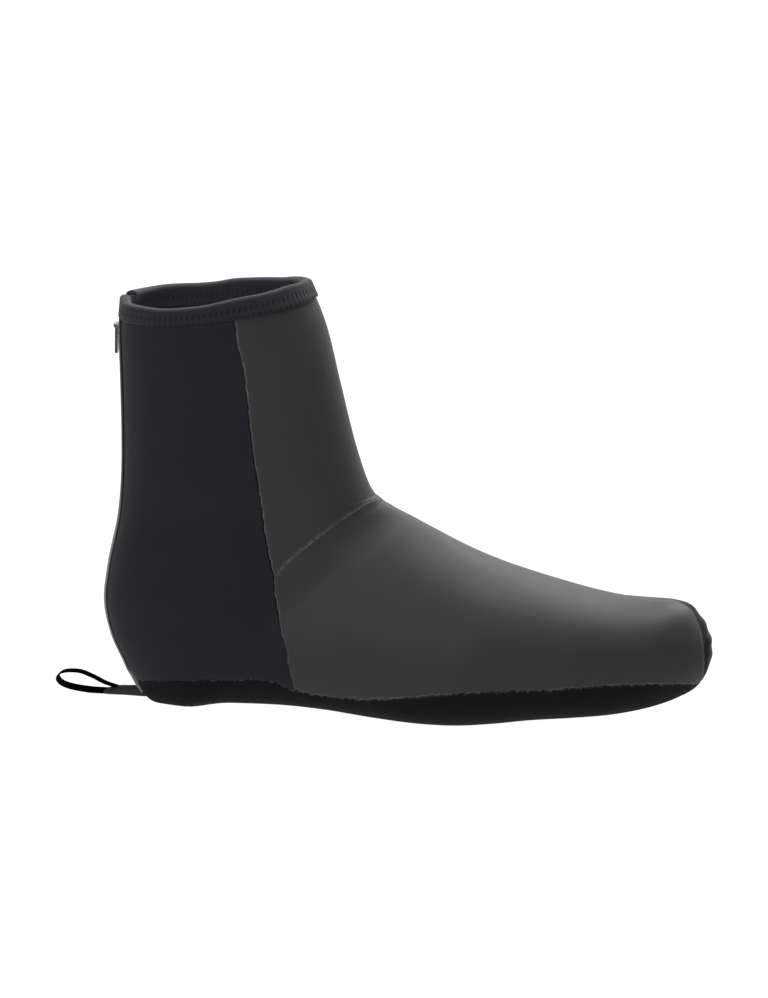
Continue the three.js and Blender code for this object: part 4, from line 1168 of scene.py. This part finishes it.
def platedMetal(name, tones):  # bright only at its top, where the light falls on it
    finish = Finish(name)
    cloud = finish.noise(2.2, 3)
    height = finish.node("ShaderNodeSeparateXYZ", {}, {"Vector": finish.place}, "Z")
    scratch = finish.noise(0.25, 2, 0.6, stretch=(1, 1, 0.15))
    color = finish.mix(finish.step(height, 0.180, 0.1825) * (0.6 + 0.4 * cloud), *tones)
    return finish.set(Base_Color=color, Metallic=1.0, Roughness=0.24 + 0.16 * cloud,
                      Normal=finish.relief(scratch, 0.02))


def ribbonCloth():
    finish = Finish("ribbon_weave")
    across, along = finish.lengths()
    fuzz = finish.noise(0.4, 3, 0.7)
    weave = along.rib(0.85) * 0.7 + across.rib(0.5) * 0.2
    return finish.set(Base_Color=finish.mix(fuzz, *colors["ribbon"]), Roughness=0.8,
                      Normal=finish.relief(weave + fuzz * 0.4, 0.16), Specular_IOR_Level=0.0)


def sleeveCloth():
    finish = Finish("sleeve_webbing")
    across, along = finish.lengths()
    weave = (across.wave(1.1) * along.wave(1.0)) * 0.5 + 0.5
    fuzz = finish.noise(0.6, 3, 0.75)
    frayed = finish.fall(along, 0.2, 1.4) * finish.step(fuzz, 0.45, 0.6)
    base = finish.mix(weave * 0.5 + fuzz * 0.5, *colors["sleeve"])
    return finish.set(Base_Color=finish.mix(frayed * 0.6, base, colors["sleeveFrayed"]), Roughness=0.9,
                      Specular_IOR_Level=0.15, Normal=finish.relief(weave * 0.7 + fuzz * 0.8, 0.3))


coated, jersey, lining, weave, knit = coatedCloth(), jerseyCloth(), innerLining(), soleWeave(), bindingKnit()
tape, nylon, ribbon, webbing = coatedTape(), coilNylon(), ribbonCloth(), sleeveCloth()
plated = platedMetal("plated_metal", colors["plated"])
blackened = platedMetal("blackened_metal", colors["blackened"])
print("materials made")

rearPanel("rear_panel_lateral", 1, [jersey, lining])
rearPanel("rear_panel_medial", -1, [jersey, lining])
shaftFrontPanel([coated, lining])
vampPanel([coated, lining])
solePiece([weave, lining])
bindingPiece([knit, knit])
zipTape("zip_tape_lateral", 1, [tape, tape])
zipTape("zip_tape_medial", -1, [tape, tape])
zipCoil([nylon])
pullLoop([ribbon])
loopSleeve([webbing])
for node, metal in (("zip_slider", plated), ("zip_pull_tab", blackened)):
    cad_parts[node].data.materials.clear()
    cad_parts[node].data.materials.append(metal)
print("pieces made")

shot = {  # the photograph's viewpoint
    "target": (0.0954, 0.0, 0.1023), "azimuth": 8.0, "elevation": 8.5, "distance": 1.5968,
    "lens": 120.0, "sensor": 36, "roll": 1.8,
}
light = {  # how bright the room and the stage are, and each lamp's place, size and power
    "room": 0.2, "floorGlow": 1.0, "farGlow": 1.05, "cardGlow": 1.05, "near": 0.3, "far": 1.3,
    "aim": (0.1, 0, 0.08), "lamps": {
        "top": ((0.3, 0.5, 2.4), 1.4, 86), "rear": ((0.85, 2.1, 1.8), 0.9, 30),
        "front": ((-0.6, -2.0, 1.2), 1.2, 28)},
}


def placeCamera():
    azimuth, elevation, roll = (math.radians(shot[name]) for name in ("azimuth", "elevation", "roll"))
    toCamera = Vector((math.sin(azimuth) * math.cos(elevation), -math.cos(azimuth) * math.cos(elevation),
                       math.sin(elevation)))
    right = Vector((0, 0, 1)).cross(toCamera).normalized()
    up = toCamera.cross(right)
    camera = bpy.data.objects.new("camera", bpy.data.cameras.new("camera"))
    camera.data.lens = shot["lens"]
    camera.data.sensor_width = shot["sensor"]
    camera.data.clip_start = 0.05
    place = Vector(shot["target"]) + toCamera * shot["distance"]
    columns = (right * math.cos(roll) + up * math.sin(roll), up * math.cos(roll) - right * math.sin(roll),
               toCamera)
    camera.matrix_world = Matrix.Translation(place) @ Matrix(columns).transposed().to_4x4()
    bpy.context.scene.collection.objects.link(camera)
    bpy.context.scene.camera = camera


def areaLight(name, place, size, power):
    lamp = bpy.data.lights.new(name, "AREA")
    lamp.shape = "DISK"
    lamp.size = size
    lamp.energy = power
    holder = bpy.data.objects.new(name, lamp)
    holder.location = place
    holder.rotation_euler = (Vector(light["aim"]) - Vector(place)).to_track_quat("-Z", "Y").to_euler()
    bpy.context.scene.collection.objects.link(holder)


def stagePlane(name, corners, color, glow, farGlow):
    # it glows evenly near the shoe and whiter far from it, where the lamps don't reach
    mesh = bpy.data.meshes.new(name)
    mesh.from_pydata(corners, [], [(0, 1, 2, 3)])
    plane = bpy.data.objects.new(name, mesh)
    bpy.context.scene.collection.objects.link(plane)
    finish = Finish(name)
    far = finish.node("ShaderNodeVectorMath", {"operation": "LENGTH"}, {0: finish.place}, "Value")
    shade = finish.mix(finish.step(far, light["near"], light["far"]), (glow,) * 3, (farGlow,) * 3)
    mesh.materials.append(finish.set(Base_Color=(color,) * 3, Roughness=0.9, Specular_IOR_Level=0.1,
                                     Emission_Color=shade, Emission_Strength=1.0))


def studio():
    # a glowing white floor that shows no shadow, a white card behind, three soft lamps and a dim room
    bpy.context.scene.view_settings.view_transform = "Standard"
    world = bpy.data.worlds.new("studio")
    world.use_nodes = True
    sky = world.node_tree.nodes["Background"]
    sky.inputs["Color"].default_value = (1, 1, 1, 1)
    sky.inputs["Strength"].default_value = light["room"]
    bpy.context.scene.world = world
    stagePlane("studio_floor", [(-7, -7, 0), (7, -7, 0), (7, 4, 0), (-7, 4, 0)], 0.06,
               light["floorGlow"], light["farGlow"])
    stagePlane("studio_card", [(-7, 4, 0), (7, 4, 0), (7, 4, 5), (-7, 4, 5)], 0.5,
               light["cardGlow"], light["cardGlow"])
    for name, (place, size, power) in light["lamps"].items():
        areaLight(name, place, size, power)


placeCamera()
studio()
print("camera and light placed")
